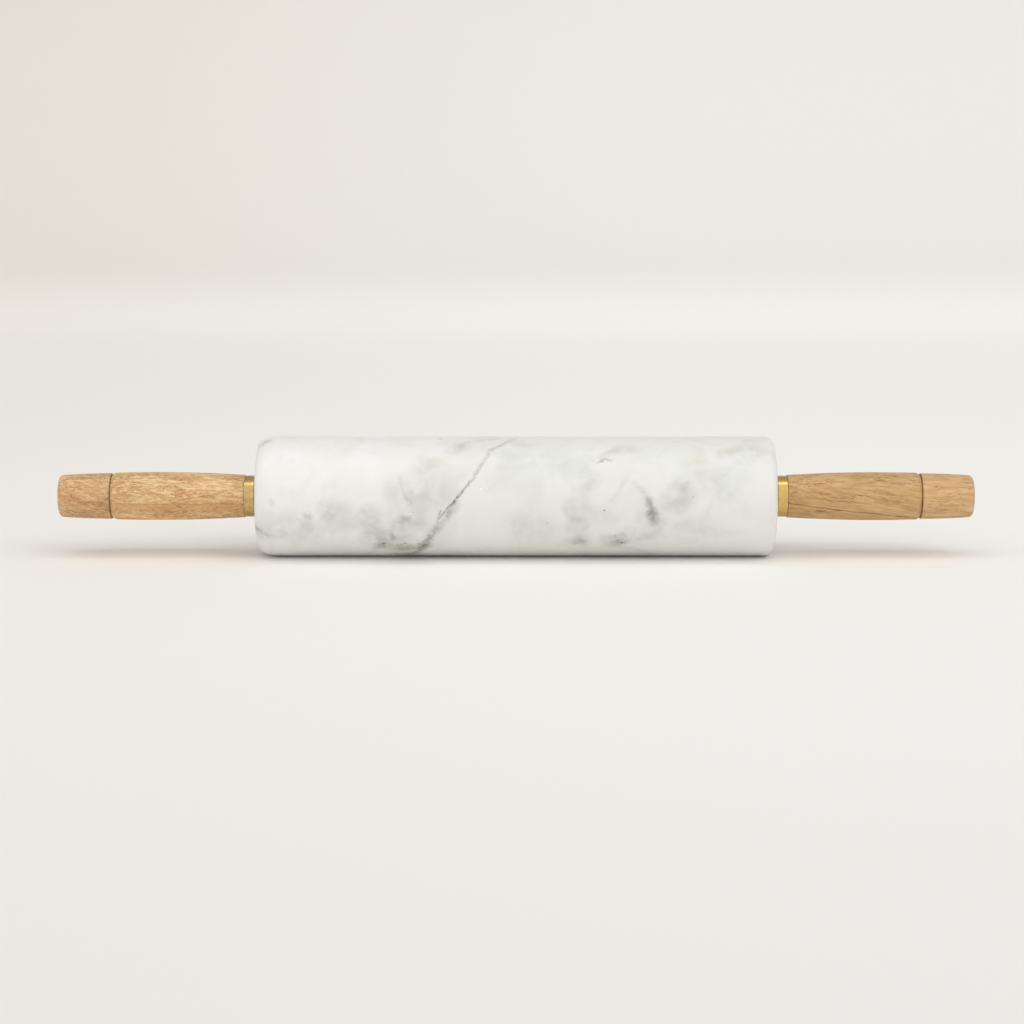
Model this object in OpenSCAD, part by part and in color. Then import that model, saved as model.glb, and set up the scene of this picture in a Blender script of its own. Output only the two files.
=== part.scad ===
// Marble rolling pin with turned wood handles on a steel axle.
// The pin lies along X. The origin is where the barrel touches the table, one barrel radius below the axle.

/* [Marble barrel] */
// Length of the barrel
barrel_length = 254; // [180:2:320]
// Diameter of the barrel
barrel_diameter = 59; // [48:1:75]
// Depth of the round at each end of the barrel, towards the axle
barrel_edge_depth = 4.5; // [2:0.5:8]
// Length of the round along the left end, which is worked softer
left_edge_length = 9; // [3:0.5:12]
// Length of the round along the right end
right_edge_length = 4.5; // [3:0.5:12]
// Gap between the spacer tube and the hole drilled through the marble
barrel_bore_gap = 1.5; // [1:0.1:2.2]
// Width of the bevel where the flange's recess meets the end face
barrel_mouth_bevel = 0.6; // [0.2:0.1:1]

/* [Bushes] */
// Length of a bush inside the marble
bush_length = 19; // [10:1:30]
// Wall of a bush around the spacer tube
bush_wall = 2.8; // [2.4:0.1:4]
// Thickness of the bush flange
flange_thickness = 1.5; // [1.2:0.1:3]
// How far the flange is sunk into the end of the marble
flange_recess = 1.1; // [0.2:0.1:1.2]
// How far the flange reaches past the body of the bush
flange_reach = 3.1; // [2:0.1:5]
// Gap filled by glue between a bush and its pocket
glue_gap = 0.1; // [0.05:0.01:0.2]
// Space left behind a bush in its pocket
pocket_relief = 1; // [0.5:0.1:3]
// Bevel that lets a bush start into its pocket
bush_bevel = 0.7; // [0.3:0.1:1]

/* [Axle and spacer tube] */
// Diameter of the steel axle rod
axle_diameter = 8; // [6:0.5:10]
// Wall of the spacer tube
tube_wall = 1.85; // [1.2:0.05:2.5]
// Gap between the rod and the spacer tube
tube_inner_gap = 0.15; // [0.1:0.05:0.4]
// Running gap between the spacer tube and a bush
running_gap = 0.06; // [0.04:0.01:0.1]
// End play between a bush flange and its thrust washer
end_play = 0.3; // [0.2:0.05:0.5]
// Bevel on each end of the rod
rod_bevel = 0.8; // [0.4:0.1:1.2]
// Length of rod that stands past each nut
rod_past_nut = 2; // [1:0.5:4]

/* [Thrust washers] */
// Thickness of a thrust washer
thrust_thickness = 0.8; // [0.5:0.1:2]
// How far the rim of a thrust washer lies below the ferrule
thrust_step = 0.4; // [0:0.1:1.5]
// Gap between a thrust washer and the spacer tube
thrust_gap = 0.1; // [0.05:0.05:0.3]

/* [Brass ferrules] */
// Length of a ferrule along the axle
ferrule_length = 5.1; // [3:0.1:12]
// Wall of the ferrule around the wood
ferrule_wall = 0.9; // [0.6:0.1:1.4]
// Thickness of the ferrule's end wall
ferrule_end_wall = 1; // [0.6:0.1:2]
// How far the ferrule lies below the wood beside it
ferrule_step = 0.3; // [0:0.05:0.6]
// Radius of the round on the ferrule's outer corner
ferrule_corner_radius = 0.5; // [0.2:0.1:0.8]
// Gap around the handle's tenon inside the ferrule
tenon_gap = 0.1; // [0.05:0.05:0.2]
// Gap around the rod in the ferrule and in the handle
rod_hole_gap = 0.2; // [0.15:0.05:0.5]

/* [Handles] */
// Length of a handle from its ferrule to the joint with its end cap
handle_length = 65.8; // [50:0.1:100]
// Diameter of the handle beside the ferrule
handle_neck_diameter = 21; // [20:0.5:26]
// Bevel on the wood beside the ferrule
neck_bevel = 0.3; // [0.1:0.05:0.6]
// How far the handle swells past its neck at the thickest place, measured on the radius
handle_swell = 1.35; // [0.5:0.05:5]
// Distance from the ferrule to the thickest place
handle_belly_place = 43.4; // [30:0.1:55]
// Length of the bevel at the end cap
groove_length = 1.8; // [1:0.1:4]
// Depth of the bevel at the end cap
groove_depth = 1.05; // [0.4:0.05:1.5]
// Depth of the pocket for the nut, from the end cap's joint
nut_pocket_depth = 22; // [19:1:30]
// Gap around the washer in the nut pocket
nut_pocket_gap = 0.5; // [0.3:0.1:1]

/* [Nuts and washers] */
// Width of a nut across its flats
nut_flats = 13; // [12:0.5:16]
// Height of a nut
nut_height = 6.5; // [4:0.5:9]
// Gap between a nut and the rod
nut_gap = 0.05; // [0.02:0.01:0.1]
// Bevel on the corners of a nut
nut_bevel = 0.8; // [0.3:0.1:1]
// Diameter of the washer under a nut
washer_diameter = 16; // [15:0.5:18]
// Thickness of that washer
washer_thickness = 1.6; // [1:0.1:2.5]

/* [End caps] */
// Length of an end cap past the joint with its handle
cap_length = 26.2; // [16:0.1:40]
// How far the cap lies below the end of the handle at the joint
cap_step = 0.25; // [0:0.05:1]
// Radius of the long curve that narrows the cap
cap_curve_radius = 330; // [220:5:600]
// Radius of the round at the end of the cap
cap_edge_radius = 2; // [1:0.5:5]
// Length of the cap's spigot in the nut pocket
spigot_length = 8; // [5:0.5:10]
// Gap around the spigot
spigot_gap = 0.08; // [0.04:0.01:0.15]
// Bevel on the spigot's end
spigot_bevel = 0.8; // [0.3:0.1:1.5]
// Bevel on the cap's edge at the joint
cap_joint_bevel = 0.4; // [0.1:0.05:0.6]

/* [Hidden] */
$fn = 96;

LEFT = -1;
RIGHT = 1;

// Radii, from the axle outwards
rod_r = axle_diameter / 2;
tube_inner_r = rod_r + tube_inner_gap;
tube_outer_r = tube_inner_r + tube_wall;
bush_inner_r = tube_outer_r + running_gap;
bush_outer_r = bush_inner_r + bush_wall;
flange_r = bush_outer_r + flange_reach;
pocket_r = bush_outer_r + glue_gap;
recess_r = flange_r + glue_gap;
barrel_bore_r = tube_outer_r + barrel_bore_gap;
barrel_r = barrel_diameter / 2;
thrust_inner_r = tube_outer_r + thrust_gap;
neck_r = handle_neck_diameter / 2;
belly_r = neck_r + handle_swell;
ferrule_r = neck_r - ferrule_step;
thrust_r = ferrule_r - thrust_step;
tenon_r = ferrule_r - ferrule_wall - tenon_gap;
rod_hole_r = rod_r + rod_hole_gap;
nut_corner_r = nut_flats / 2 / cos(30);
nut_pocket_r = max(washer_diameter / 2, nut_corner_r) + nut_pocket_gap;
spigot_r = nut_pocket_r - spigot_gap;

// Stations along the right half of the axle, from the barrel's middle outwards
barrel_end_x = barrel_length / 2;
flange_start_x = barrel_end_x - flange_recess;
flange_end_x = flange_start_x + flange_thickness;
thrust_start_x = flange_end_x + end_play;
ferrule_start_x = thrust_start_x + thrust_thickness;
tenon_start_x = ferrule_start_x + ferrule_end_wall;
handle_start_x = ferrule_start_x + ferrule_length;
handle_end_x = handle_start_x + handle_length;
groove_start_x = handle_end_x - groove_length;
belly_x = handle_start_x + handle_belly_place;
nut_seat_x = handle_end_x - nut_pocket_depth;
nut_start_x = nut_seat_x + washer_thickness;
nut_end_x = nut_start_x + nut_height;
rod_end_x = nut_end_x + rod_past_nut;
cap_end_x = handle_end_x + cap_length;

// Radius of the curve that passes through the neck and is thickest at the belly, and where it ends
swell_radius = (pow(handle_belly_place, 2) + pow(handle_swell, 2)) / (2 * handle_swell);
handle_end_r = circle_r(belly_r, belly_x, swell_radius, groove_start_x);
cap_r = handle_end_r - cap_step;

// Centre of the round at the cap's end, which touches the cap's long curve from inside
cap_curve_x = handle_end_x;
cap_round_x = cap_end_x - cap_edge_radius;
cap_inner_curve = cap_curve_radius - cap_edge_radius;
cap_round_r = circle_r(cap_r, cap_curve_x, cap_curve_radius, cap_round_x, cap_edge_radius);

// Straight steps along the barrel's edges, the handle's swell, the cap's curve and the cap's round
edge_steps = 10;
swell_steps = 16;
cap_steps = 6;
round_steps = 8;

// Radius at a station of a curve whose circle is widest at widest_x, or of one that lies inset from it
function circle_r(widest_r, widest_x, radius, x, inset = 0) =
    widest_r - radius + sqrt(pow(radius - inset, 2) - pow(x - widest_x, 2));

// Points of that curve between two stations, as radius and station
function curve_points(widest_r, widest_x, radius, from, to, steps) =
    [for (i = [0:steps]) let (x = from + (to - from) * i / steps)
        [circle_r(widest_r, widest_x, radius, x), x]];

// Point of the barrel's edge, a quarter of an ellipse that starts on the straight side
function edge_point(edge_length, i) = let (angle = 90 * i / edge_steps)
    [barrel_r - barrel_edge_depth * (1 - cos(angle)), barrel_end_x - edge_length * (1 - sin(angle))];

// Turns a profile, drawn with its radius along X and its station along Y, about the axle
module turned() {
    translate([0, 0, barrel_r]) rotate([0, 90, 0]) rotate_extrude() children();
}

// Puts a piece drawn at the right end on the side asked for
module on_side(side) {
    mirror([side == LEFT ? 1 : 0, 0, 0]) children();
}

// A flat ring or plain sleeve between two radii and two stations
module sleeve_profile(inner, outer, from, to) {
    translate([inner, from]) square([outer - inner, to - from]);
}

// Marble cylinder with rounded ends, a hole right through and a pocket for a bush in each end
module marble_barrel() {
    color("whitesmoke") turned() difference() {
        barrel_outline();
        sleeve_profile(0, barrel_bore_r, -barrel_length, barrel_length);
        for (side = [LEFT, RIGHT]) mirror([0, side == LEFT ? 1 : 0]) bush_pocket_profile();
    }
}

// The straight side runs into the round at each end
module barrel_outline() {
    polygon([
        [0, -barrel_end_x],
        for (i = [edge_steps:-1:0]) let (point = edge_point(left_edge_length, i)) [point.x, -point.y],
        for (i = [0:edge_steps]) edge_point(right_edge_length, i),
        [0, barrel_end_x]
    ]);
}

// Stepped pocket for the body and the flange of a bush
module bush_pocket_profile() {
    pocket_x = barrel_end_x - bush_length - pocket_relief;
    sleeve_profile(0, pocket_r, pocket_x, barrel_length);
    sleeve_profile(0, recess_r, flange_start_x, barrel_length);
    polygon([
        [0, barrel_end_x - barrel_mouth_bevel],
        [recess_r, barrel_end_x - barrel_mouth_bevel],
        [recess_r + barrel_mouth_bevel, barrel_end_x],
        [0, barrel_end_x]
    ]);
}

// Flanged bush glued into the marble, which runs on the spacer tube
module bush(side) {
    color("ivory") on_side(side) turned() difference() {
        union() {
            sleeve_profile(bush_inner_r, bush_outer_r, barrel_end_x - bush_length, flange_end_x);
            sleeve_profile(bush_inner_r, flange_r, flange_start_x, flange_end_x);
        }
        bush_lead_in();
    }
}

// What the bevel takes off the end of the bush
module bush_lead_in() {
    start_x = barrel_end_x - bush_length;
    polygon([
        [bush_outer_r - bush_bevel, start_x],
        [bush_outer_r, start_x],
        [bush_outer_r, start_x + bush_bevel]
    ]);
}

// Steel rod that ties both handles together
module axle_rod() {
    color("silver") turned() polygon([
        [0, -rod_end_x],
        [rod_r - rod_bevel, -rod_end_x],
        [rod_r, rod_bevel - rod_end_x],
        [rod_r, rod_end_x - rod_bevel],
        [rod_r - rod_bevel, rod_end_x],
        [0, rod_end_x]
    ]);
}

// Steel tube clamped between the ferrules, which keeps the handles off the marble
module spacer_tube() {
    color("lightgray") turned() sleeve_profile(tube_inner_r, tube_outer_r, -ferrule_start_x, ferrule_start_x);
}

// Washer that the bush flange runs against
module thrust_washer(side) {
    color("silver") on_side(side) turned()
        sleeve_profile(thrust_inner_r, thrust_r, thrust_start_x, ferrule_start_x);
}

// Brass cup over the tenon of the handle
module ferrule(side) {
    corner_r = ferrule_r - ferrule_corner_radius;
    corner_x = ferrule_start_x + ferrule_corner_radius;
    color("goldenrod") on_side(side) turned() difference() {
        union() {
            sleeve_profile(rod_hole_r, corner_r, ferrule_start_x, handle_start_x);
            sleeve_profile(rod_hole_r, ferrule_r, corner_x, handle_start_x);
            translate([corner_r, corner_x]) circle(ferrule_corner_radius);
        }
        sleeve_profile(0, tenon_r + tenon_gap, tenon_start_x, handle_end_x);
    }
}

// Turned handle: a tenon for the ferrule, a long swell, and a bevel at the end cap
module handle(side) {
    color("burlywood") on_side(side) turned() difference() {
        union() {
            sleeve_profile(0, tenon_r, tenon_start_x, belly_x);
            handle_swell();
        }
        sleeve_profile(0, rod_hole_r, 0, cap_end_x);
        sleeve_profile(0, nut_pocket_r, nut_seat_x, cap_end_x);
    }
}

// The swell follows one large circle, cut at the ferrule and at the end cap
module handle_swell() {
    swell_start_x = handle_start_x + neck_bevel;
    polygon([
        [0, handle_start_x],
        [neck_r - neck_bevel, handle_start_x],
        each curve_points(belly_r, belly_x, swell_radius, swell_start_x, groove_start_x, swell_steps),
        [handle_end_r - groove_depth, handle_end_x],
        [0, handle_end_x]
    ]);
}

// Washer that spreads the nut's pull over the wood
module washer(side) {
    color("silver") on_side(side) turned()
        sleeve_profile(rod_hole_r, washer_diameter / 2, nut_seat_x, nut_start_x);
}

// Six-sided nut with bevelled corners
module nut(side) {
    color("darkgray") on_side(side) intersection() {
        translate([nut_start_x, 0, barrel_r]) rotate([0, 90, 0]) linear_extrude(nut_height) difference() {
            circle(r = nut_corner_r, $fn = 6);
            circle(rod_r + nut_gap);
        }
        turned() polygon([
            [0, nut_start_x],
            [nut_corner_r - nut_bevel, nut_start_x],
            [nut_corner_r, nut_start_x + nut_bevel / 2],
            [nut_corner_r, nut_end_x - nut_bevel / 2],
            [nut_corner_r - nut_bevel, nut_end_x],
            [0, nut_end_x]
        ]);
    }
}

// Turned plug that closes the nut pocket and ends the handle
module end_cap(side) {
    color("tan") on_side(side) turned() {
        cap_body_profile();
        spigot_profile();
    }
}

// A long curve narrows the cap, and a round joins it to the flat end
module cap_body_profile() {
    curve_start_x = handle_end_x + cap_joint_bevel;
    touch_angle = asin((cap_round_x - cap_curve_x) / cap_inner_curve);
    touch_x = cap_round_x + cap_edge_radius * sin(touch_angle);
    polygon([
        [0, handle_end_x],
        [cap_r - cap_joint_bevel, handle_end_x],
        each curve_points(cap_r, cap_curve_x, cap_curve_radius, curve_start_x, touch_x, cap_steps),
        for (i = [1:round_steps]) let (angle = touch_angle + (90 - touch_angle) * i / round_steps)
            [cap_round_r + cap_edge_radius * cos(angle), cap_round_x + cap_edge_radius * sin(angle)],
        [0, cap_end_x]
    ]);
}

// Plug that fills the mouth of the nut pocket
module spigot_profile() {
    spigot_x = handle_end_x - spigot_length;
    polygon([
        [0, spigot_x],
        [spigot_r - spigot_bevel, spigot_x],
        [spigot_r, spigot_x + spigot_bevel],
        [spigot_r, cap_round_x],
        [0, cap_round_x]
    ]);
}

marble_barrel();
bush(LEFT);  // left_bush
bush(RIGHT);  // right_bush
axle_rod();
spacer_tube();
thrust_washer(LEFT);  // left_thrust_washer
thrust_washer(RIGHT);  // right_thrust_washer
ferrule(LEFT);  // left_ferrule
ferrule(RIGHT);  // right_ferrule
handle(LEFT);  // left_handle
handle(RIGHT);  // right_handle
washer(LEFT);  // left_washer
washer(RIGHT);  // right_washer
nut(LEFT);  // left_nut
nut(RIGHT);  // right_nut
end_cap(LEFT);  // left_end_cap
end_cap(RIGHT);  // right_end_cap
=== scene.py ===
"""Visual model of a marble rolling pin: its turned pieces, their finishes, and a plain studio round them.

The pin lies along X with its axle above the origin. Lengths in the dataclasses are millimetres, and
meshes are metres.
"""

import logging
import math
from collections.abc import Sequence
from dataclasses import dataclass, field, replace
from enum import Enum

import bmesh
import bpy
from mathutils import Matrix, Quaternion, Vector
from mathutils.noise import noise as surface_noise


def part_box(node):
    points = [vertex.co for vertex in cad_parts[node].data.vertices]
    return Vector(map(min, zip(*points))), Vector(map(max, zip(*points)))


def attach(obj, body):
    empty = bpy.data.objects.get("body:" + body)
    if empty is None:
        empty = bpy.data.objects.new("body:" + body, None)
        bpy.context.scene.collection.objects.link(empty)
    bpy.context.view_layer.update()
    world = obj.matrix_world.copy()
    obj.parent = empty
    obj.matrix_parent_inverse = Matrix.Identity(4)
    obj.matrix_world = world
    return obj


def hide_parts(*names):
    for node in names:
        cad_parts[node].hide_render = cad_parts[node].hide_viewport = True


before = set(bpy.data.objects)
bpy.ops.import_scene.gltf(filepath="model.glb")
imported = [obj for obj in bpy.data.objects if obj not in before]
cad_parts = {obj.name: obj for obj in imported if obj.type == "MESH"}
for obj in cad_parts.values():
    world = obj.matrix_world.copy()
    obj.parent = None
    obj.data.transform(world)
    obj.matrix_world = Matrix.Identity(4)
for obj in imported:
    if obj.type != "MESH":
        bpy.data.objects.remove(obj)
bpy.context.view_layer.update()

MM = 0.001
LOG = logging.getLogger("rolling_pin")

# A corner straighter than this isn't rounded, and an edge sharper than this isn't shaded smoothly.
STRAIGHT_HALF_ANGLE = math.radians(89)
SHARP_ANGLE = math.radians(32)

# Nearly all of a noise lies between these two.
NOISE_SPAN = (0.3, 0.7)

# How far in mm the painted shade line at a joint lies from the handle's end, and from the ferrule's lip.
JOINT_SHADE_OFFSET = 0.1

STEEL_ROUGHNESS = 0.34
BRASS_ROUGHNESS = 0.2

Socket = bpy.types.NodeSocket
Number = float | Socket
Pair = tuple[float, float]
Triple = tuple[float, float, float]
Colour = tuple[float, float, float, float]
Ring = list[bmesh.types.BMVert]


class Side(Enum):
    """The two ends of the pin, with the sign of X on each."""

    LEFT = -1
    RIGHT = 1

    @property
    def word(self) -> str:
        """The side's name as the CAD nodes use it."""
        return self.name.lower()


def screen_to_linear(value: int) -> float:
    """Turn one channel of a screen colour, from 0 to 255, into linear light."""
    share = value / 255
    return share / 12.92 if value <= 10 else ((share + 0.055) / 1.055) ** 2.4


def linear(red: int, green: int, blue: int) -> Colour:
    """Turn a colour as a screen shows it into the linear colour that shaders take.

    Args:
        red: Red from 0 to 255.
        green: Green from 0 to 255.
        blue: Blue from 0 to 255.

    Returns:
        The linear colour with full alpha.
    """
    return (screen_to_linear(red), screen_to_linear(green), screen_to_linear(blue), 1.0)


@dataclass(frozen=True)
class NodeSize:
    """Where a CAD node lies, measured from its box.

    Attributes:
        inner: Distance in mm from the pin's middle to the node's nearer end.
        outer: Distance in mm from the pin's middle to the node's farther end.
        radius: The node's largest radius in mm.
        height: Height of the axle above the table in mm.
    """

    inner: float
    outer: float
    radius: float
    height: float

    @classmethod
    def of(cls, node: str) -> "NodeSize":
        """Measure a node.

        Args:
            node: Name of the CAD node.

        Returns:
            Its size and place.
        """
        low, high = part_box(node)
        ends = sorted((abs(low[0]) / MM, abs(high[0]) / MM))
        return cls(ends[0], ends[1], (high[2] - low[2]) / 2 / MM, (high[2] + low[2]) / 2 / MM)


@dataclass(frozen=True)
class Corner:
    """A corner of a turned piece's outline.

    Attributes:
        x: Distance from the pin's middle in mm.
        r: Radius in mm.
        soft: Radius in mm of the round that breaks the corner.
    """

    x: float
    r: float
    soft: float = 0.0


def arc_through(before: Corner, corner: Corner, after: Corner, steps: int) -> list[Pair]:
    """Break one corner with a round that touches both of its sides.

    Args:
        before: The corner before it.
        corner: The corner to break.
        after: The corner after it.
        steps: Straight steps along the round.

    Returns:
        Points along the round, as distance and radius.
    """
    here = Vector((corner.x, corner.r))
    back = (Vector((before.x, before.r)) - here).normalized()
    onward = (Vector((after.x, after.r)) - here).normalized()
    half = back.angle(onward) / 2
    if corner.soft <= 0 or half > STRAIGHT_HALF_ANGLE:
        return [(corner.x, corner.r)]
    centre = here + (back + onward).normalized() * corner.soft / math.sin(half)
    first = here + back * corner.soft / math.tan(half) - centre
    last = here + onward * corner.soft / math.tan(half) - centre
    points = []
    for step in range(steps + 1):
        toward = first.lerp(last, step / steps).normalized() * corner.soft
        points.append((centre.x + toward.x, centre.y + toward.y))
    return points


@dataclass(frozen=True)
class Swell:
    """A length of outline that is part of one large circle.

    Attributes:
        widest_at: Distance in mm from the pin's middle where it is widest.
        widest: The piece's radius there in mm.
        circle: Radius of the large circle in mm.
    """

    widest_at: float
    widest: float
    circle: float

    def radius(self, x: float) -> float:
        """Give the piece's radius at a distance from the pin's middle."""
        return self.widest - self.circle + math.sqrt(self.circle**2 - (x - self.widest_at) ** 2)

    def corners(self, start: float, end: float, steps: int, left_out: int = 0) -> list[Corner]:
        """Draw the outline between two distances, without the corners at both.

        Args:
            start: The nearer distance in mm.
            end: The farther one.
            steps: How many steps lie between them.
            left_out: How many of the last corners aren't drawn.

        Returns:
            Its corners.
        """
        stations = [start + (end - start) * i / steps for i in range(1, steps - left_out)]
        return [Corner(x, self.radius(x)) for x in stations]


@dataclass
class Turning:
    """A piece turned about the axle.

    Attributes:
        name: Name of the piece.
        corners: Its outline, going round once. One that starts and ends at radius 0 is solid to the axle.
        height: Height of the axle in mm.
        side: The end of the pin that it belongs to.
        around: Faces around the axle.
        soft_steps: Straight steps along each round.
        longest: Longest step along the outline in mm.
        unevenness: How far in mm the outer surface wavers, as a hand-turned one does.
        wavers: How many wavers there are to the mm along the axle, and to the half turn about it.
    """

    name: str
    corners: Sequence[Corner]
    height: float
    side: Side = Side.RIGHT
    around: int = 144
    soft_steps: int = 6
    longest: float = 4.0
    unevenness: float = 0.0
    wavers: Pair = (0.11, 0.9)

    def outline(self) -> list[Pair]:
        """Round the corners and divide the long sides.

        Returns:
            Points round the outline, as distance and radius.
        """
        count = len(self.corners)
        points: list[Pair] = []
        for i, corner in enumerate(self.corners):
            after = self.corners[(i + 1) % count]
            points += arc_through(self.corners[i - 1], corner, after, self.soft_steps)
        divided: list[Pair] = []
        for start, end in zip(points, points[1:] + points[:1]):
            pieces = max(1, math.ceil(math.dist(start, end) / self.longest))
            if start[1] <= 0 and end[1] <= 0:
                pieces = 1
            for k in range(pieces):
                share = k / pieces
                x, r = (start[i] + (end[i] - start[i]) * share for i in (0, 1))
                divided.append((x, r))
        return divided

    def waver(self, x: float, angle: float, r: float) -> float:
        """Find how far the surface leaves the true outline at one place.

        Args:
            x: Distance from the middle in mm.
            angle: Angle about the axle.
            r: Radius in mm.

        Returns:
            The radius in mm after the waver, never more than it was.
        """
        if not self.unevenness or r <= 0:
            return r
        along, about = self.wavers
        place = Vector((x * along * self.side.value, math.cos(angle) * about, math.sin(angle) * about))
        return r - self.unevenness * (1 + surface_noise(place)) / 2

    def build(self) -> bpy.types.Object:
        """Turn the outline into a closed mesh.

        Returns:
            The new object, at the scene's origin.
        """
        shape = bmesh.new()
        rings: list[Ring] = []
        for x, r in self.outline():
            count = self.around if r > 0 else 1
            ring = []
            for k in range(count):
                angle = 2 * math.pi * k / self.around
                wide = self.waver(x, angle, r)
                place = (self.side.value * x, wide * math.cos(angle), self.height + wide * math.sin(angle))
                ring.append(shape.verts.new(Vector(place) * MM))
            rings.append(ring)
        for i, ring in enumerate(rings):
            self._join(shape, ring, rings[(i + 1) % len(rings)])
        bmesh.ops.recalc_face_normals(shape, faces=shape.faces)
        mesh = bpy.data.meshes.new(self.name)
        shape.to_mesh(mesh)
        shape.free()
        mesh.polygons.foreach_set("use_smooth", [True] * len(mesh.polygons))
        mesh.set_sharp_from_angle(angle=SHARP_ANGLE)
        piece = bpy.data.objects.new(self.name, mesh)
        bpy.context.scene.collection.objects.link(piece)
        return piece

    def _join(self, shape: bmesh.types.BMesh, one: Ring, other: Ring) -> None:
        """Put faces between two rings, either of which may be a single point on the axle.

        Args:
            shape: The mesh being made.
            one: First ring.
            other: Second ring.
        """
        if len(one) == 1 and len(other) == 1:
            return
        for k in range(self.around):
            after = (k + 1) % self.around
            if len(one) == 1:
                shape.faces.new((one[0], other[after], other[k]))
            elif len(other) == 1:
                shape.faces.new((one[k], one[after], other[0]))
            else:
                shape.faces.new((one[k], one[after], other[after], other[k]))


@dataclass(frozen=True)
class Noise:
    """The settings of a noise.

    Attributes:
        scale: How many swings it has to the mm.
        detail: How many finer layers it has.
        rough: How strong the finer layers are.
        warp: How far it is distorted.
        stretch: How the place is scaled along X, Y and Z first. Less than 1 draws the noise out.
    """

    scale: float
    detail: float = 2.0
    rough: float = 0.5
    warp: float = 0.0
    stretch: Triple | None = None


@dataclass(frozen=True)
class Mottle:
    """A patchy pattern: noise, carried softly from one range to another.

    Attributes:
        noise: The noise.
        start: The noise at which the pattern begins to change.
        end: The noise at which the change is complete.
        low: The pattern's value before the start.
        high: Its value past the end.
    """

    noise: Noise
    start: float
    end: float
    low: float = 0.0
    high: float = 1.0


@dataclass(frozen=True)
class Layer:
    """A colour laid on through a patchy pattern.

    Attributes:
        colour: The colour.
        pattern: The pattern, which gives how much of it is laid on.
    """

    colour: Colour
    pattern: Mottle


@dataclass(frozen=True)
class Sway:
    """How a place is shaken before something is drawn there, so that nothing lies too straight.

    Attributes:
        noise: The noise that shakes it.
        reach: How far it moves the place along X, Y and Z.
    """

    noise: Noise
    reach: Triple


class Wiring:
    """Adds sums to a node tree, with numbers and sockets taken alike."""

    def __init__(self, tree: bpy.types.NodeTree) -> None:
        """Take a tree.

        Args:
            tree: The tree.
        """
        self.nodes = tree.nodes
        self.links = tree.links

    def feed(self, socket: Socket, value: Number | Sequence[float]) -> None:
        """Set a socket to a constant, or link it.

        Args:
            socket: The input.
            value: A number, a vector or an output.
        """
        if isinstance(value, bpy.types.NodeSocket):
            self.links.new(value, socket)
        else:
            socket.default_value = value

    def maths(self, operation: str, first: Number, second: Number = 0.0, third: Number = 0.0) -> Socket:
        """Work out one sum.

        Args:
            operation: The operation's name.
            first: First number.
            second: Second number.
            third: Third number, where there is one.

        Returns:
            The result.
        """
        node = self.nodes.new("ShaderNodeMath")
        node.operation = operation
        for socket, value in zip(node.inputs, (first, second, third)):
            self.feed(socket, value)
        return node.outputs[0]

    def vector(self, operation: str, first: Socket | Triple, second: Socket | Triple = (0, 0, 0)) -> Socket:
        """Work out one vector sum.

        Args:
            operation: The operation's name.
            first: First vector.
            second: Second vector.

        Returns:
            The result: a number for a length or a dot product, and a vector otherwise.
        """
        node = self.nodes.new("ShaderNodeVectorMath")
        node.operation = operation
        self.feed(node.inputs[0], first)
        self.feed(node.inputs[1], second)
        return node.outputs["Value" if operation in ("LENGTH", "DOT_PRODUCT") else "Vector"]

    def scaled(self, place: Socket, by: Triple) -> Socket:
        """Stretch a place by a different amount along each axis."""
        return self.vector("MULTIPLY", place, by)

    def lengthened(self, way: Socket, by: Socket) -> Socket:
        """Multiply a vector by a number.

        Args:
            way: The vector.
            by: The number.

        Returns:
            The longer vector.
        """
        node = self.nodes.new("ShaderNodeVectorMath")
        node.operation = "SCALE"
        self.feed(node.inputs[0], way)
        self.feed(node.inputs["Scale"], by)
        return node.outputs[0]

    def parts(self, place: Socket) -> tuple[Socket, Socket, Socket]:
        """Split a place into its three numbers.

        Args:
            place: The place.

        Returns:
            X, Y and Z.
        """
        node = self.nodes.new("ShaderNodeSeparateXYZ")
        self.feed(node.inputs[0], place)
        return node.outputs[0], node.outputs[1], node.outputs[2]

    def joined(self, x: Number, y: Number, z: Number = 0.0) -> Socket:
        """Join three numbers into a place.

        Args:
            x: First number.
            y: Second number.
            z: Third number.

        Returns:
            The place.
        """
        node = self.nodes.new("ShaderNodeCombineXYZ")
        for socket, value in zip(node.inputs, (x, y, z)):
            self.feed(socket, value)
        return node.outputs[0]

    def ranged(self, value: Number, low: Number, high: Number, to_low: Number = 0.0,
               to_high: Number = 1.0) -> Socket:
        """Carry a number softly from one range to another, and hold it there past either end.

        Args:
            value: The number.
            low: Start of its range.
            high: End of its range.
            to_low: What the start becomes.
            to_high: What the end becomes.

        Returns:
            The number in its new range.
        """
        node = self.nodes.new("ShaderNodeMapRange")
        node.interpolation_type = "SMOOTHSTEP"
        node.clamp = False
        for socket, number in zip(node.inputs, (value, low, high, to_low, to_high)):
            self.feed(socket, number)
        return node.outputs[0]


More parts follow.
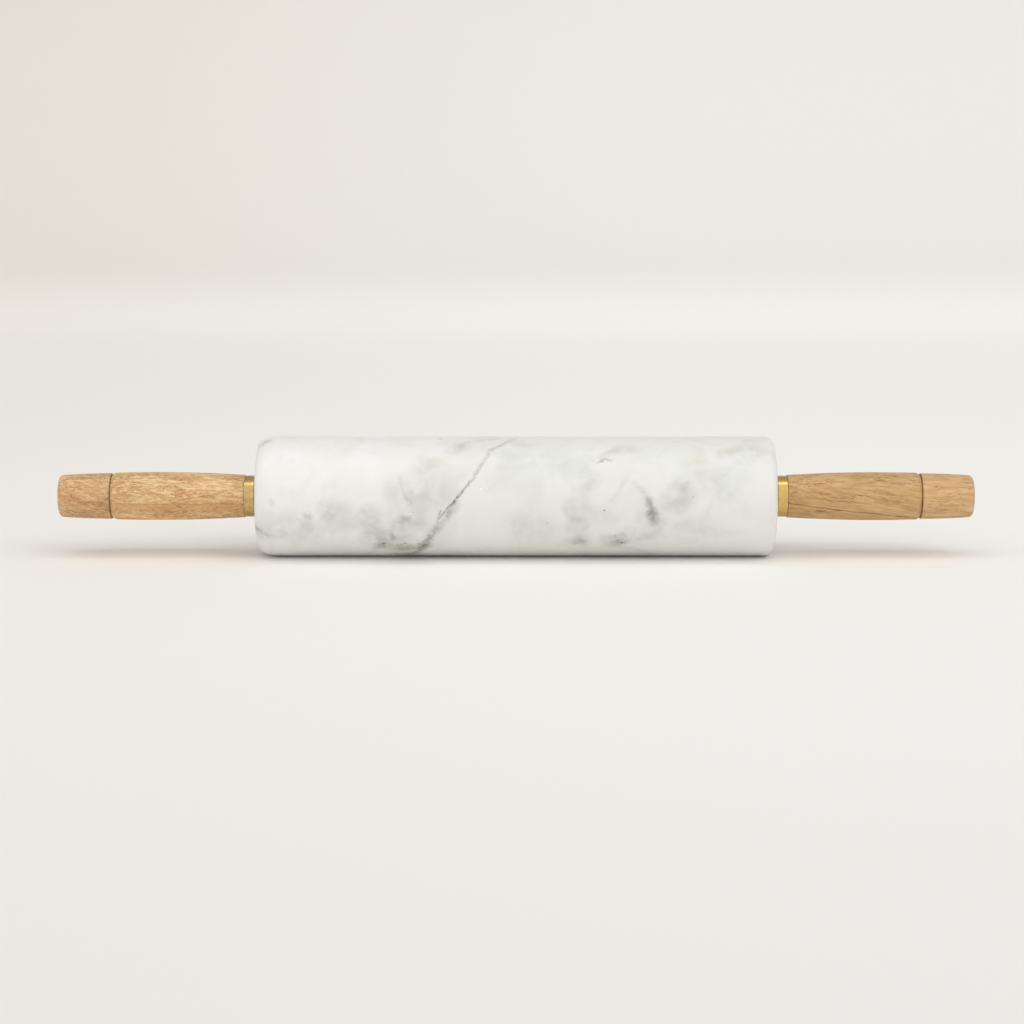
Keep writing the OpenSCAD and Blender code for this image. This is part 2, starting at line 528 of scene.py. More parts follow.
class Shading(Wiring):
    """Builds one material."""

    def __init__(self, name: str) -> None:
        """Start a material with a plain surface shader.

        Args:
            name: Name of the material.
        """
        self.material = bpy.data.materials.new(name)
        self.material.use_nodes = True
        super().__init__(self.material.node_tree)
        self.surface = self.nodes["Principled BSDF"]
        self.at = self.nodes.new("ShaderNodeTexCoord").outputs["Object"]

    def at_in_mm(self) -> Socket:
        """Give the place that is being shaded, in mm."""
        return self.scaled(self.at, (1 / MM, 1 / MM, 1 / MM))

    def turned(self, place: Socket, angles: Triple) -> Socket:
        """Turn a place about the origin.

        Args:
            place: The place.
            angles: Angles in degrees about X, Y and Z.

        Returns:
            The turned place.
        """
        node = self.nodes.new("ShaderNodeVectorRotate")
        node.rotation_type = "EULER_XYZ"
        self.feed(node.inputs["Vector"], place)
        node.inputs["Rotation"].default_value = [math.radians(a) for a in angles]
        return node.outputs["Vector"]

    def noise(self, place: Socket, settings: Noise) -> Socket:
        """Sample noise.

        Args:
            place: Where to sample.
            settings: The noise's settings.

        Returns:
            A number around a half.
        """
        return self._noise_node(place, settings).outputs[0]

    def shaken(self, place: Socket, sway: Sway, source: Socket) -> Socket:
        """Shake a place.

        Args:
            place: The place.
            sway: How it is shaken.
            source: The place where the shake itself is sampled.

        Returns:
            The shaken place.
        """
        colour = self._noise_node(source, sway.noise).outputs[1]
        centred = self.vector("SUBTRACT", colour, (0.5, 0.5, 0.5))
        return self.vector("ADD", place, self.vector("MULTIPLY", centred, sway.reach))

    def mottled(self, place: Socket, pattern: Mottle) -> Socket:
        """Sample a patchy pattern.

        Args:
            place: Where to sample.
            pattern: The pattern.

        Returns:
            The pattern's value there.
        """
        sample = self.noise(place, pattern.noise)
        return self.ranged(sample, pattern.start, pattern.end, pattern.low, pattern.high)

    def _noise_node(self, place: Socket, settings: Noise) -> bpy.types.Node:
        """Make a noise texture and set it.

        Args:
            place: Where to sample.
            settings: The noise's settings.

        Returns:
            The texture's node, which gives a number first and a vector next.
        """
        node = self.nodes.new("ShaderNodeTexNoise")
        self.feed(node.inputs["Vector"], self.scaled(place, settings.stretch) if settings.stretch else place)
        node.inputs["Scale"].default_value = settings.scale
        node.inputs["Detail"].default_value = settings.detail
        node.inputs["Roughness"].default_value = settings.rough
        node.inputs["Distortion"].default_value = settings.warp
        return node

    def colours(self, share: Number, under: Socket | Colour, over: Socket | Colour) -> Socket:
        """Lay one colour on another.

        Args:
            share: How much of it is laid on, from 0 to 1.
            under: The colour below.
            over: The colour laid on.

        Returns:
            The mixed colour.
        """
        node = self.nodes.new("ShaderNodeMix")
        node.data_type = "RGBA"
        factor, below, above = (node.inputs[i] for i in (0, 6, 7))
        self.feed(factor, share)
        self.feed(below, under)
        self.feed(above, over)
        return node.outputs[2]

    def layered(self, place: Socket, under: Socket | Colour, layer: Layer) -> Socket:
        """Lay a colour on another through its pattern.

        Args:
            place: Where the pattern is sampled.
            under: The colour below.
            layer: The colour laid on, with its pattern.

        Returns:
            The mixed colour.
        """
        return self.colours(self.mottled(place, layer.pattern), under, layer.colour)

    def grouped(self, group: str, values: dict[str, Number | Sequence[float]]) -> Socket:
        """Put a node group to use.

        Args:
            group: Name of the group.
            values: What goes into its sockets, by their names.

        Returns:
            Its result.
        """
        node = self.nodes.new("ShaderNodeGroup")
        node.node_tree = bpy.data.node_groups[group]
        for name, value in values.items():
            self.feed(node.inputs[name], value)
        return node.outputs[0]

    def bump(self, height: Socket, strength: float, depth_mm: float) -> None:
        """Raise the surface where a number is high.

        Args:
            height: The number.
            strength: How much of the effect shows.
            depth_mm: How far 1 stands above 0.
        """
        node = self.nodes.new("ShaderNodeBump")
        node.inputs["Strength"].default_value = strength
        node.inputs["Distance"].default_value = depth_mm * MM
        self.feed(node.inputs["Height"], height)
        self.feed(self.surface.inputs["Normal"], node.outputs[0])

    def finish(self, colour: Socket, roughness: Number, metallic: float = 0.0) -> bpy.types.Material:
        """Give the surface its colour and gloss.

        Args:
            colour: Its colour.
            roughness: Its roughness.
            metallic: 1 for bare metal.

        Returns:
            The material.
        """
        self.feed(self.surface.inputs["Base Color"], colour)
        self.feed(self.surface.inputs["Roughness"], roughness)
        self.surface.inputs["Metallic"].default_value = metallic
        return self.material


@dataclass(frozen=True)
class Vein:
    """A line of mineral across the front of the barrel.

    Attributes:
        path: Points along it: mm from the middle, and mm round the barrel, up from the level of its axis.
        width: How far in mm its halo reaches at its start and at its end.
        strength: How dark it is at its start and at its end, from 0 to 1.
    """

    path: Sequence[Pair]
    width: Pair
    strength: Pair

    def stretches(self) -> list["Stretch"]:
        """Cut the vein into its straight stretches.

        Returns:
            The stretches, from the vein's start to its end.
        """
        count = len(self.path) - 1
        shares = [i / count for i in range(count + 1)]
        widths = [self.width[0] + (self.width[1] - self.width[0]) * share for share in shares]
        strengths = [self.strength[0] + (self.strength[1] - self.strength[0]) * share for share in shares]
        return [
            Stretch(self.path[i : i + 2], widths[i : i + 2], strengths[i : i + 2]) for i in range(count)
        ]


@dataclass(frozen=True)
class Stretch:
    """One straight stretch of a vein.

    Attributes:
        ends: Its two ends.
        widths: How far its halo reaches at each.
        strengths: How dark it is at each.
    """

    ends: Sequence[Pair]
    widths: Sequence[float]
    strengths: Sequence[float]


@dataclass(frozen=True)
class Cloud:
    """A soft patch of colour on the front of the barrel.

    Attributes:
        centre: Its centre, measured as a vein's points are.
        reach: Half of its length and of its width in mm.
        lean: How far it leans in degrees.
        strength: How strong it is, from 0 to 1.
    """

    centre: Pair
    reach: Pair
    lean: float
    strength: float


VEINS = (
    Vein(((-0.5, 41.5), (-9, 32.5), (-12.7, 30), (-14, 26), (-15.5, 22.7), (-20.8, 13)), (2.2, 2.0),
         (0.6, 0.62)),
    Vein(((-20.8, 13), (-24.2, 9), (-28.3, 4)), (1.7, 1.5), (0.7, 0.95)),
    Vein(((-28.3, 4), (-29.8, 2), (-33.2, -1.4), (-36.2, -5.2), (-38, -7)), (1.5, 1.2), (1.0, 0.75)),
    Vein(((-28.5, 2.7), (-32, -2.7), (-34, -6), (-37, -10.6), (-38.5, -13)), (2.4, 4.2), (0.62, 0.6)),
    Vein(((-36.5, -2.5), (-38, -7), (-38, -10.6)), (1.2, 1.4), (0.75, 0.65)),
    Vein(((-38, -10.6), (-40.8, -15.3), (-42.5, -19.3), (-45, -24)), (3.4, 5.5), (0.78, 1.0)),
    Vein(((-45, -24), (-50, -33), (-54, -42), (-57, -50)), (5.5, 3.0), (0.95, 0.4)),
    Vein(((-56.4, 14.5), (-56, 11), (-54.8, 7.2), (-53.2, 4.2), (-50.8, 1.4), (-52, -0.5)), (1.7, 1.6),
         (0.4, 0.5)),
    Vein(((-28.2, 29.3), (-25.4, 36.3), (-14.7, 39.9), (-8, 42)), (3.0, 2.2), (0.3, 0.5)),
    Vein(((-54, -7), (-48, -9.5), (-42.6, -9.5)), (2.0, 1.6), (0.35, 0.3)),
    Vein(((-66, -24), (-72, -33), (-80, -40)), (3.0, 2.0), (0.5, 0.2)),
    Vein(((-126, -14), (-120.5, -16.6), (-114, -17.5)), (1.8, 2.2), (0.55, 0.3)),
    Vein(((57, 11), (61.4, 7.1), (64.5, 3.5)), (2.4, 3.0), (0.3, 0.62)),
    Vein(((54, 14.5), (50.3, 7.5), (46.4, 2.7)), (2.2, 2.2), (0.35, 0.3)),
    Vein(((66, -7), (70, -12)), (2.6, 2.0), (0.45, 0.3)),
    Vein(((39.5, 21.5), (41.2, 23.2), (44, 24.2), (46, 22.8)), (1.2, 1.3), (0.6, 0.35)),
    Vein(((44, -22), (49, -24), (57, -26), (66, -32)), (3.0, 2.4), (0.5, 0.45)),
)

GREY_CLOUDS = (
    Cloud((67, -8), (15, 11), -70, 0.5),
    Cloud((-72, -7), (15, 10), 10, 0.6),
    Cloud((-52, -8), (20, 13), 20, 0.6),
    Cloud((-64, -18), (20, 9), 0, 0.75),
    Cloud((-106, -12), (24, 13), -6, 0.52),
    Cloud((-48, 5), (19, 16), 0, 0.5),
    Cloud((-46, 18), (12, 9), 20, 0.34),
    Cloud((-121, -16), (10, 6), 0, 0.6),
    Cloud((-88, -3), (12, 9), 0, 0.42),
    Cloud((-27, 32), (12, 8), 20, 0.55),
    Cloud((31, -6), (9, 20), 0, 0.62),
    Cloud((31, -20), (10, 7), 0, 0.7),
    Cloud((36, 12), (9, 11), 0, 0.44),
    Cloud((50, -20), (10, 6), 0, 0.6),
    Cloud((52, 29), (16, 5), 14, 0.45),
    Cloud((78, 4), (17, 12), 35, 0.6),
    Cloud((82, -13), (28, 11), 0, 0.42),
    Cloud((64, -16), (16, 9), 0, 0.5),
    Cloud((112, 28), (18, 12), 15, 0.3),
    Cloud((5, -12), (18, 16), 0, 0.25),
    Cloud((100, 10), (20, 12), 0, 0.34),
    Cloud((-5, 20), (16, 10), 30, 0.24),
    Cloud((18, 24), (18, 12), 0, 0.22),
    # These two lie low along the front and darken it towards the bottom.
    Cloud((-40, -36), (26, 9), 0, 0.5),
    Cloud((50, -36), (40, 9), 0, 0.4),
)

GREEN_CLOUDS = (
    Cloud((114, 38), (11, 5), 4, 0.8),
    Cloud((105, 31), (8, 6), 20, 0.75),
    Cloud((117, 27), (7, 4), 0, 0.4),
    Cloud((41, -5), (12, 8), -10, 0.6),
    Cloud((89, 20), (14, 8), -60, 0.6),
    Cloud((12, -14), (18, 10), 0, 0.35),
    Cloud((-72, -12), (14, 9), 0, 0.45),
    Cloud((5, 34), (12, 8), 0, 0.35),
    Cloud((-86, -8), (9, 8), 0, 0.5),
    Cloud((-36, 8), (9, 14), -30, 0.4),
    Cloud((-38, 21), (7, 6), 0, 0.5),
)

SMUDGES_AND_PAINTED_SHADE = (
    Cloud((66.4, -4), (8.0, 4.6), -84, 1.0),
    Cloud((65.4, 1.0), (5.0, 3.8), -66, 0.8),
    Cloud((82, 9.5), (5.0, 3.2), 45, 0.3),
    Cloud((43.8, 23.8), (4.0, 1.5), -8, 0.35),
    Cloud((41.0, 22.8), (1.6, 1.1), 40, 0.6),
    Cloud((51, -21), (6.0, 3.2), 5, 0.7),
    Cloud((31, -20.5), (6.0, 3.2), 0, 0.5),
    Cloud((-54, -7.1), (4.5, 2.6), 10, 0.45),
    Cloud((-31.5, -3.5), (8.0, 2.6), 52, 0.34),
    Cloud((-36.5, -12.0), (6.0, 2.4), 62, 0.3),
    # These four lie low on the front: partly grey mineral, partly painted shade along the bottom.
    Cloud((-54, -34), (12.0, 6.0), 8, 0.6),
    Cloud((-64.5, -23.5), (7.5, 4.0), 12, 0.75),
    Cloud((-55, -26), (13.0, 5.6), 0, 0.85),
    Cloud((-45.5, -24.5), (6.0, 4.4), 20, 0.6),
    Cloud((-61, -16.5), (5.0, 2.4), -62, 0.6),
    Cloud((-67, -13.5), (6.0, 3.6), -30, 0.25),
    Cloud((-118.4, 1.2), (3.2, 2.6), 0, 0.24),
    Cloud((-100.6, -5.7), (3.4, 2.8), 0, 0.32),
    Cloud((-88.1, -5.2), (3.2, 3.0), 0, 0.2),
    Cloud((-122.4, 39.0), (7.0, 3.4), 46, 0.42),
    Cloud((-37.3, 41.3), (1.6, 1.0), -10, 0.5),
)

DARK_SPECKS = (
    Cloud((-29.9, 2.0), (1.3, 1.0), 40, 1.0),
    Cloud((-28.3, 3.9), (1.1, 0.9), 30, 1.0),
    Cloud((-36.9, -5.6), (0.8, 0.5), 30, 0.6),
    Cloud((-44.5, -23.5), (2.4, 1.2), 20, 0.8),
    Cloud((-64.5, -22), (1.8, 1.0), 20, 0.7),
    Cloud((-54, -22), (1.6, 1.2), 0, 0.6),
    Cloud((41.0, 22.7), (0.7, 0.5), 40, 0.7),
    Cloud((117, 26), (0.6, 0.5), 0, 0.7),
    Cloud((99, 35), (0.5, 0.4), 0, 0.5),
    Cloud((85.5, 4.2), (0.5, 0.5), 0, 0.7),
    Cloud((15, -9), (0.6, 0.6), 0, 0.5),
    Cloud((42.8, -2.4), (1.1, 0.5), -20, 0.7),
    Cloud((48.6, -16.6), (0.6, 0.6), 0, 0.8),
    Cloud((51.5, -21.5), (1.4, 0.8), 10, 0.9),
)

WHITE_SPECKS = (
    Cloud((-17, 8), (0.7, 0.7), 0, 1.0),
    Cloud((-51, -4), (0.7, 0.6), 0, 0.9),
    Cloud((62, -22), (0.6, 0.5), 0, 0.6),
)


class MaskGroup(Wiring):
    """A node group that turns a place into one number.

    Attributes:
        name: Name of the group.
        vectors: Names of the vectors that it takes, the place first.
        numbers: Names of the numbers that it takes.
    """

    name = ""
    vectors: tuple[str, ...] = ()
    numbers: tuple[str, ...] = ()

    def __init__(self) -> None:
        """Make the group with its sockets, and fill it."""
        tree = bpy.data.node_groups.new(self.name, "ShaderNodeTree")
        super().__init__(tree)
        for kind, names in (("Vector", self.vectors), ("Float", self.numbers)):
            for name in names:
                tree.interface.new_socket(name, in_out="INPUT", socket_type=f"NodeSocket{kind}")
        tree.interface.new_socket("Mask", in_out="OUTPUT", socket_type="NodeSocketFloat")
        mask = self.fill(self.nodes.new("NodeGroupInput").outputs)
        self.feed(self.nodes.new("NodeGroupOutput").inputs[0], mask)

    def fill(self, given: bpy.types.NodeOutputs) -> Socket:
        """Work out the mask from what is given."""
        raise NotImplementedError


class StretchGroup(MaskGroup):
    """How near a place is to one straight stretch of a vein."""

    name = "vein_stretch"
    vectors = ("Place", "Start", "Along", "Share")
    numbers = ("Width at start", "Width gain", "Strength at start", "Strength gain")

    def fill(self, given: bpy.types.NodeOutputs) -> Socket:
        """Fade from the stretch's middle line to its width.

        Args:
            given: The group's inputs.

        Returns:
            The mask.
        """
        away = self.vector("SUBTRACT", given["Place"], given["Start"])
        share = self.maths("MINIMUM", self.vector("DOT_PRODUCT", away, given["Share"]), 1.0)
        share = self.maths("MAXIMUM", share, 0.0)
        gap = self.vector("LENGTH", self.vector("SUBTRACT", away, self.lengthened(given["Along"], share)))
        width = self.maths("MULTIPLY_ADD", share, given["Width gain"], given["Width at start"])
        near = self.maths("MAXIMUM", self.maths("SUBTRACT", 1.0, self.maths("DIVIDE", gap, width)), 0.0)
        square = self.maths("MULTIPLY", near, near)
        soft = self.maths("MULTIPLY", square, self.maths("MULTIPLY_ADD", near, -2.0, 3.0))
        strength = self.maths("MULTIPLY_ADD", share, given["Strength gain"], given["Strength at start"])
        return self.maths("MULTIPLY", soft, strength)

    @classmethod
    def measure(cls, s: Shading, place: Socket, stretch: Stretch) -> Socket:
        """Use the group for one stretch.

        Args:
            s: The material being made.
            place: The unrolled place.
            stretch: The stretch.

        Returns:
            How near the place is to the stretch, times the stretch's strength.
        """
        (x, r), (last_x, last_r) = stretch.ends
        along = Vector((last_x - x, last_r - r, 0.0))
        width, last_width = stretch.widths
        strength, last_strength = stretch.strengths
        return s.grouped(cls.name, {
            "Place": place,
            "Start": (x, r, 0.0),
            "Along": along,
            "Share": along / along.length_squared,
            "Width at start": width,
            "Width gain": last_width - width,
            "Strength at start": strength,
            "Strength gain": last_strength - strength,
        })


class CloudGroup(MaskGroup):
    """How deep a place lies in a soft patch."""

    name = "soft_cloud"
    vectors = ("Place", "Centre", "Long way", "Short way")
    numbers = ("Strength",)

    def fill(self, given: bpy.types.NodeOutputs) -> Socket:
        """Fade from the patch's centre to its edge.

        Args:
            given: The group's inputs.

        Returns:
            The mask.
        """
        away = self.vector("SUBTRACT", given["Place"], given["Centre"])
        long_way = self.vector("DOT_PRODUCT", away, given["Long way"])
        short_way = self.vector("DOT_PRODUCT", away, given["Short way"])
        square = self.maths("MULTIPLY", long_way, long_way)
        square = self.maths("MULTIPLY_ADD", short_way, short_way, square)
        near = self.maths("MAXIMUM", self.maths("SUBTRACT", 1.0, square), 0.0)
        return self.maths("MULTIPLY", self.maths("MULTIPLY", near, near), given["Strength"])

    @classmethod
    def measure(cls, s: Shading, place: Socket, cloud: Cloud) -> Socket:
        """Use the group for one cloud.

        Args:
            s: The material being made.
            place: The unrolled place.
            cloud: The cloud.

        Returns:
            How deep the place lies in the cloud, times the cloud's strength.
        """
        lean = math.radians(cloud.lean)
        length, width = cloud.reach
        return s.grouped(cls.name, {
            "Place": place,
            "Centre": (*cloud.centre, 0.0),
            "Long way": (math.cos(lean) / length, math.sin(lean) / length, 0.0),
            "Short way": (-math.sin(lean) / width, math.cos(lean) / width, 0.0),
            "Strength": cloud.strength,
        })


@dataclass(frozen=True)
class Ground:
    """The white of the stone before its clouds and veins.

    Attributes:
        white: Its main colour.
        milk: The whiter colour that comes and goes in it.
        dusk: The colour that it turns to along the barrel.
        dusk_span: Where along the barrel, in mm from the middle, that turn begins and ends.
        dusk_share: How far it goes, from 0 to 1.
        dusk_bends: The noise that bends the turn's edge.
        dusk_reach: How far in mm it bends it.
        layers: The colours laid on it last: a grey drift, a warm breath and the crystals.
    """

    white: Colour = linear(234, 233, 230)
    milk: Layer = Layer(linear(240, 239, 237), Mottle(Noise(0.022, 4.0, 0.55, 0.6), 0.35, 0.65))
    dusk: Colour = linear(228, 228, 224)
    dusk_span: Pair = (-75.0, 30.0)
    dusk_share: float = 0.7
    dusk_bends: Noise = Noise(0.03, 3.0)
    dusk_reach: float = 60.0
    layers: tuple[Layer, ...] = (
        Layer(
            linear(213, 214, 208),
            Mottle(Noise(0.05, 5.0, 0.55, 1.0, stretch=(1.0, 1.3, 0.7)), 0.46, 0.74, high=0.5),
        ),
        Layer(linear(229, 225, 220), Mottle(Noise(0.035, 3.0), 0.45, 0.7, high=0.45)),
        Layer(linear(200, 201, 197), Mottle(Noise(1.6, 4.0, 0.7), 0.3, 0.7, high=0.1)),
    )

    def build(self, s: Shading, place: Socket) -> Socket:
        """Mix the white of the stone.

        Args:
            s: The material being made.
            place: The place in mm.

        Returns:
            The colour.
        """
        colour = s.layered(place, self.white, self.milk)
        bend = s.maths("MULTIPLY", s.noise(place, self.dusk_bends), self.dusk_reach)
        along = s.maths("ADD", s.parts(place)[0], bend)
        colour = s.colours(s.ranged(along, *self.dusk_span, 0.0, self.dusk_share), colour, self.dusk)
        for layer in self.layers:
            colour = s.layered(place, colour, layer)
        return colour


@dataclass(frozen=True)
class VeinLook:
    """How a vein is laid on the stone: a soft halo, a clearer body and dark grains of mineral.

    Attributes:
        halo: The halo's colour.
        halo_share: How strongly it shows.
        body: The body's colour.
        body_share: How strongly it shows.
        body_span: The nearness to the vein at which the body begins and is full.
        mineral: The colour of the grains.
        mineral_share: How strongly they show.
        mineral_span: The nearness at which they begin and are full.
        uneven: How the halo and the body come and go.
        grains: Where the grains lie.
        sparse: How the grains thin out in places.
    """

    halo: Colour = linear(164, 167, 160)
    halo_share: float = 0.55
    body: Colour = linear(140, 145, 134)
    body_share: float = 0.6
    body_span: Pair = (0.35, 1.0)
    mineral: Colour = linear(78, 82, 74)
    mineral_share: float = 0.9
    mineral_span: Pair = (0.5, 0.95)
    uneven: Mottle = Mottle(Noise(0.5, 4.0, 0.6), 0.32, 0.66, 0.35, 1.15)
    grains: Mottle = Mottle(Noise(0.95, 4.0, 0.65), 0.5, 0.63)
    sparse: Mottle = Mottle(Noise(0.22, 3.0), 0.38, 0.6, 0.25, 1.0)

    def lay(self, s: Shading, place: Socket, vein: Socket, colour: Socket) -> Socket:
        """Lay a vein on the stone.

        Args:
            s: The material being made.
            place: The place in mm.
            vein: How near the place is to a vein, times the vein's strength.
            colour: The colour of the stone.

        Returns:
            The stone with its veins.
        """
        uneven = s.mottled(place, self.uneven)
        halo = s.maths("MULTIPLY", vein, uneven)
        body = s.maths("MULTIPLY", s.ranged(vein, *self.body_span), uneven)
        core = s.maths("MULTIPLY", s.ranged(vein, *self.mineral_span), s.mottled(place, self.grains))
        core = s.maths("MULTIPLY", core, s.mottled(place, self.sparse))
        colour = s.colours(s.maths("MULTIPLY", halo, self.halo_share), colour, self.halo)
        colour = s.colours(s.maths("MULTIPLY", body, self.body_share), colour, self.body)
        return s.colours(s.maths("MULTIPLY", core, self.mineral_share), colour, self.mineral)


@dataclass(frozen=True)
class FarVeins:
    """Veins for the parts of the stone that the front's veins don't reach.

    Attributes:
        bend: How the veins bend.
        turn: How the pattern is turned, in degrees, so that no vein runs along the barrel.
        bands: The noise in whose middle the veins lie.
        line_width: How wide the dark line is, as a share of that noise.
        halo_width: How wide its halo is.
        line: The line's colour.
        line_share: How strongly it shows.
        halo: The halo's colour.
        halo_share: How strongly it shows.
        patches: Where the veins show at all.
    """

    bend: Sway = Sway(Noise(0.03, 4.0), (34.0, 34.0, 34.0))
    turn: Triple = (20, 35, 50)
    bands: Noise = Noise(0.013)
    line_width: float = 0.012
    halo_width: float = 0.07
    line: Colour = linear(78, 82, 74)
    line_share: float = 0.6
    halo: Colour = linear(164, 169, 163)
    halo_share: float = 0.5
    patches: Mottle = Mottle(Noise(0.03, 4.0), 0.42, 0.62)

    def lay(self, s: Shading, place: Socket, hidden: Socket, colour: Socket) -> Socket:
        """Lay the veins on the stone.

        Args:
            s: The material being made.
            place: The place in mm.
            hidden: How far the place is from the barrel's front, from 0 to 1.
            colour: The colour of the stone.

        Returns:
            The stone with these veins.
        """
        bands = s.noise(s.turned(s.shaken(place, self.bend, place), self.turn), self.bands)
        away = s.maths("ABSOLUTE", s.maths("SUBTRACT", bands, 0.5))
        shown = s.maths("MULTIPLY", s.mottled(place, self.patches), hidden)
        halo = s.maths("MULTIPLY", s.ranged(away, 0.0, self.halo_width, self.halo_share, 0.0), shown)
        line = s.maths("MULTIPLY", s.ranged(away, 0.0, self.line_width, self.line_share, 0.0), shown)
        return s.colours(line, s.colours(halo, colour, self.halo), self.line)


@dataclass(frozen=True)
class Marble:
    """Honed white marble, with the veins of the barrel's front and others like them behind.

    Attributes:
        radius: Radius of the barrel in mm.
        height: Height of its axis in mm.
        half_length: Half of its length in mm.
        shade: The colour of its clouds.
        moss: The colour of its greenish clouds.
        cloudiness: How strongly the clouds show, from 0 to 1.
        smoke: How the clouds come and go.
        dust: The colour of its smudges, the lowest of which are partly painted shade, with how they come and
            go.
        ink: The colour of its dark specks, with how they come and go.
        glint: The colour of its white specks.
        front_middle: How far in mm round the barrel the middle of the front's veins lies above the axis.
        front_fade: How far from there, in mm round the barrel, the front ends and the back is reached.
        end_fade: How far inside the barrel's end the same happens along it.
        cloud_sway: How the clouds' outlines are shaken.
        vein_sway: How the veins are shaken.
        smudge_sway: How the smudges are shaken besides.
        crystal: The noise of its crystals.
        crystal_bump: How much of their relief shows, and how deep it is in mm.
        gloss: The roughness of the lowest and of the highest crystals.
        vein_gloss: How much rougher a vein is.
    """

    radius: float
    height: float
    half_length: float
    shade: Colour = linear(164, 167, 160)
    moss: Colour = linear(200, 201, 182)
    cloudiness: float = 0.75
    smoke: Mottle = Mottle(Noise(0.14, 4.0, warp=0.4), 0.3, 0.66, 0.35, 1.1)
    dust: Layer = Layer(linear(152, 150, 139), Mottle(Noise(0.45, 4.0, 0.6), 0.3, 0.65, 0.72, 1.1))
    ink: Layer = Layer(linear(58, 62, 55), Mottle(Noise(0.9), 0.35, 0.6, 0.55, 1.0))
    glint: Colour = linear(252, 252, 252)
    front_middle: float = 5.0
    front_fade: Pair = (44.0, 60.0)
    end_fade: Pair = (5.0, 0.5)
    cloud_sway: Sway = Sway(Noise(0.07, 3.0), (17.0, 15.0, 0.0))
    vein_sway: Sway = Sway(Noise(0.6, 4.0), (1.8, 1.8, 0.0))
    smudge_sway: Sway = Sway(Noise(0.22, 3.0), (6.0, 5.0, 0.0))
    crystal: Noise = Noise(2.4, 3.0, 0.6)
    crystal_bump: Pair = (0.25, 0.04)
    gloss: Pair = (0.4, 0.5)
    vein_gloss: float = 0.1

    def build(self) -> bpy.types.Material:
        """Make the material.

        Returns:
            The material.
        """
        StretchGroup()
        CloudGroup()
        s = Shading("honed_marble")
        place = s.at_in_mm()
        flat, hidden = self._unrolled(s, place)
        colour = Ground().build(s, place)
        colour = self._clouded(s, place, s.shaken(flat, self.cloud_sway, place), colour)
        colour = FarVeins().lay(s, place, hidden, colour)
        tight = s.shaken(flat, self.vein_sway, place)
        vein = self._nearest_vein(s, tight)
        colour = VeinLook().lay(s, place, vein, colour)
        torn = s.shaken(tight, self.smudge_sway, place)
        # Smudges; the lowest are partly painted shade along the bottom of the front.
        colour = self._marked(s, place, self._patches(s, torn, SMUDGES_AND_PAINTED_SHADE), self.dust, colour)
        colour = self._marked(s, place, self._patches(s, tight, DARK_SPECKS), self.ink, colour)
        colour = s.colours(self._patches(s, flat, WHITE_SPECKS), colour, self.glint)

        crystal = s.noise(place, self.crystal)
        worn = s.maths("MULTIPLY", vein, self.vein_gloss)
        s.bump(crystal, *self.crystal_bump)
        return s.finish(colour, s.maths("ADD", s.ranged(crystal, *NOISE_SPAN, *self.gloss), worn))

    def _unrolled(self, s: Shading, place: Socket) -> tuple[Socket, Socket]:
        """Unroll the barrel flat, and tell its front from its back and its ends.

        Args:
            s: The material being made.
            place: The place in mm.

        Returns:
            The unrolled place, and how far it is from the front, from 0 to 1.
        """
        x, y, z = s.parts(place)
        angle = s.maths("ARCTAN2", s.maths("SUBTRACT", z, self.height), s.maths("MULTIPLY", y, -1.0))
        round_it = s.maths("MULTIPLY", angle, self.radius)
        from_middle = s.maths("ABSOLUTE", s.maths("SUBTRACT", round_it, self.front_middle))
        inner, outer = (self.half_length - fade for fade in self.end_fade)
        behind = s.ranged(from_middle, *self.front_fade)
        at_end = s.ranged(s.maths("ABSOLUTE", x), inner, outer)
        return s.joined(x, round_it), s.maths("MAXIMUM", behind, at_end)

    def _clouded(self, s: Shading, place: Socket, loose: Socket, colour: Socket) -> Socket:
        """Lay the grey and the greenish clouds on the stone.

        Args:
            s: The material being made.
            place: The place in mm.
            loose: The unrolled place, shaken.
            colour: The colour of the stone.

        Returns:
            The stone with its clouds.
        """
        smoke = s.maths("MULTIPLY", s.mottled(place, self.smoke), self.cloudiness)
        for clouds, tint in ((GREY_CLOUDS, self.shade), (GREEN_CLOUDS, self.moss)):
            share = s.maths("MULTIPLY", self._patches(s, loose, clouds), smoke)
            colour = s.colours(share, colour, tint)
        return colour

    @staticmethod
    def _marked(s: Shading, place: Socket, marks: Socket, layer: Layer, colour: Socket) -> Socket:
        """Lay smudges or specks on the stone.

        Args:
            s: The material being made.
            place: The place in mm.
            marks: How deep the place lies in one of them.
            layer: Their colour, with how they come and go.
            colour: The colour of the stone.

        Returns:
            The stone with these marks.
        """
        share = s.maths("MULTIPLY", marks, s.mottled(place, layer.pattern))
        return s.colours(share, colour, layer.colour)

    @staticmethod
    def _nearest_vein(s: Shading, place: Socket) -> Socket:
        """Find the strongest vein at a place.

        Args:
            s: The material being made.
            place: The unrolled place, shaken.

        Returns:
            How near it is to a vein, times the vein's strength.
        """
        total: Number = 0.0
        for vein in VEINS:
            for stretch in vein.stretches():
                total = s.maths("MAXIMUM", total, StretchGroup.measure(s, place, stretch))
        return total

    @staticmethod
    def _patches(s: Shading, place: Socket, clouds: Sequence[Cloud]) -> Socket:
        """Find the strongest cloud, smudge or speck at a place.

        Args:
            s: The material being made.
            place: The unrolled place.
            clouds: The clouds.

        Returns:
            How deep the place lies in one of them, times its strength.
        """
        total: Number = 0.0
        for cloud in clouds:
            total = s.maths("MAXIMUM", total, CloudGroup.measure(s, place, cloud))
        return total


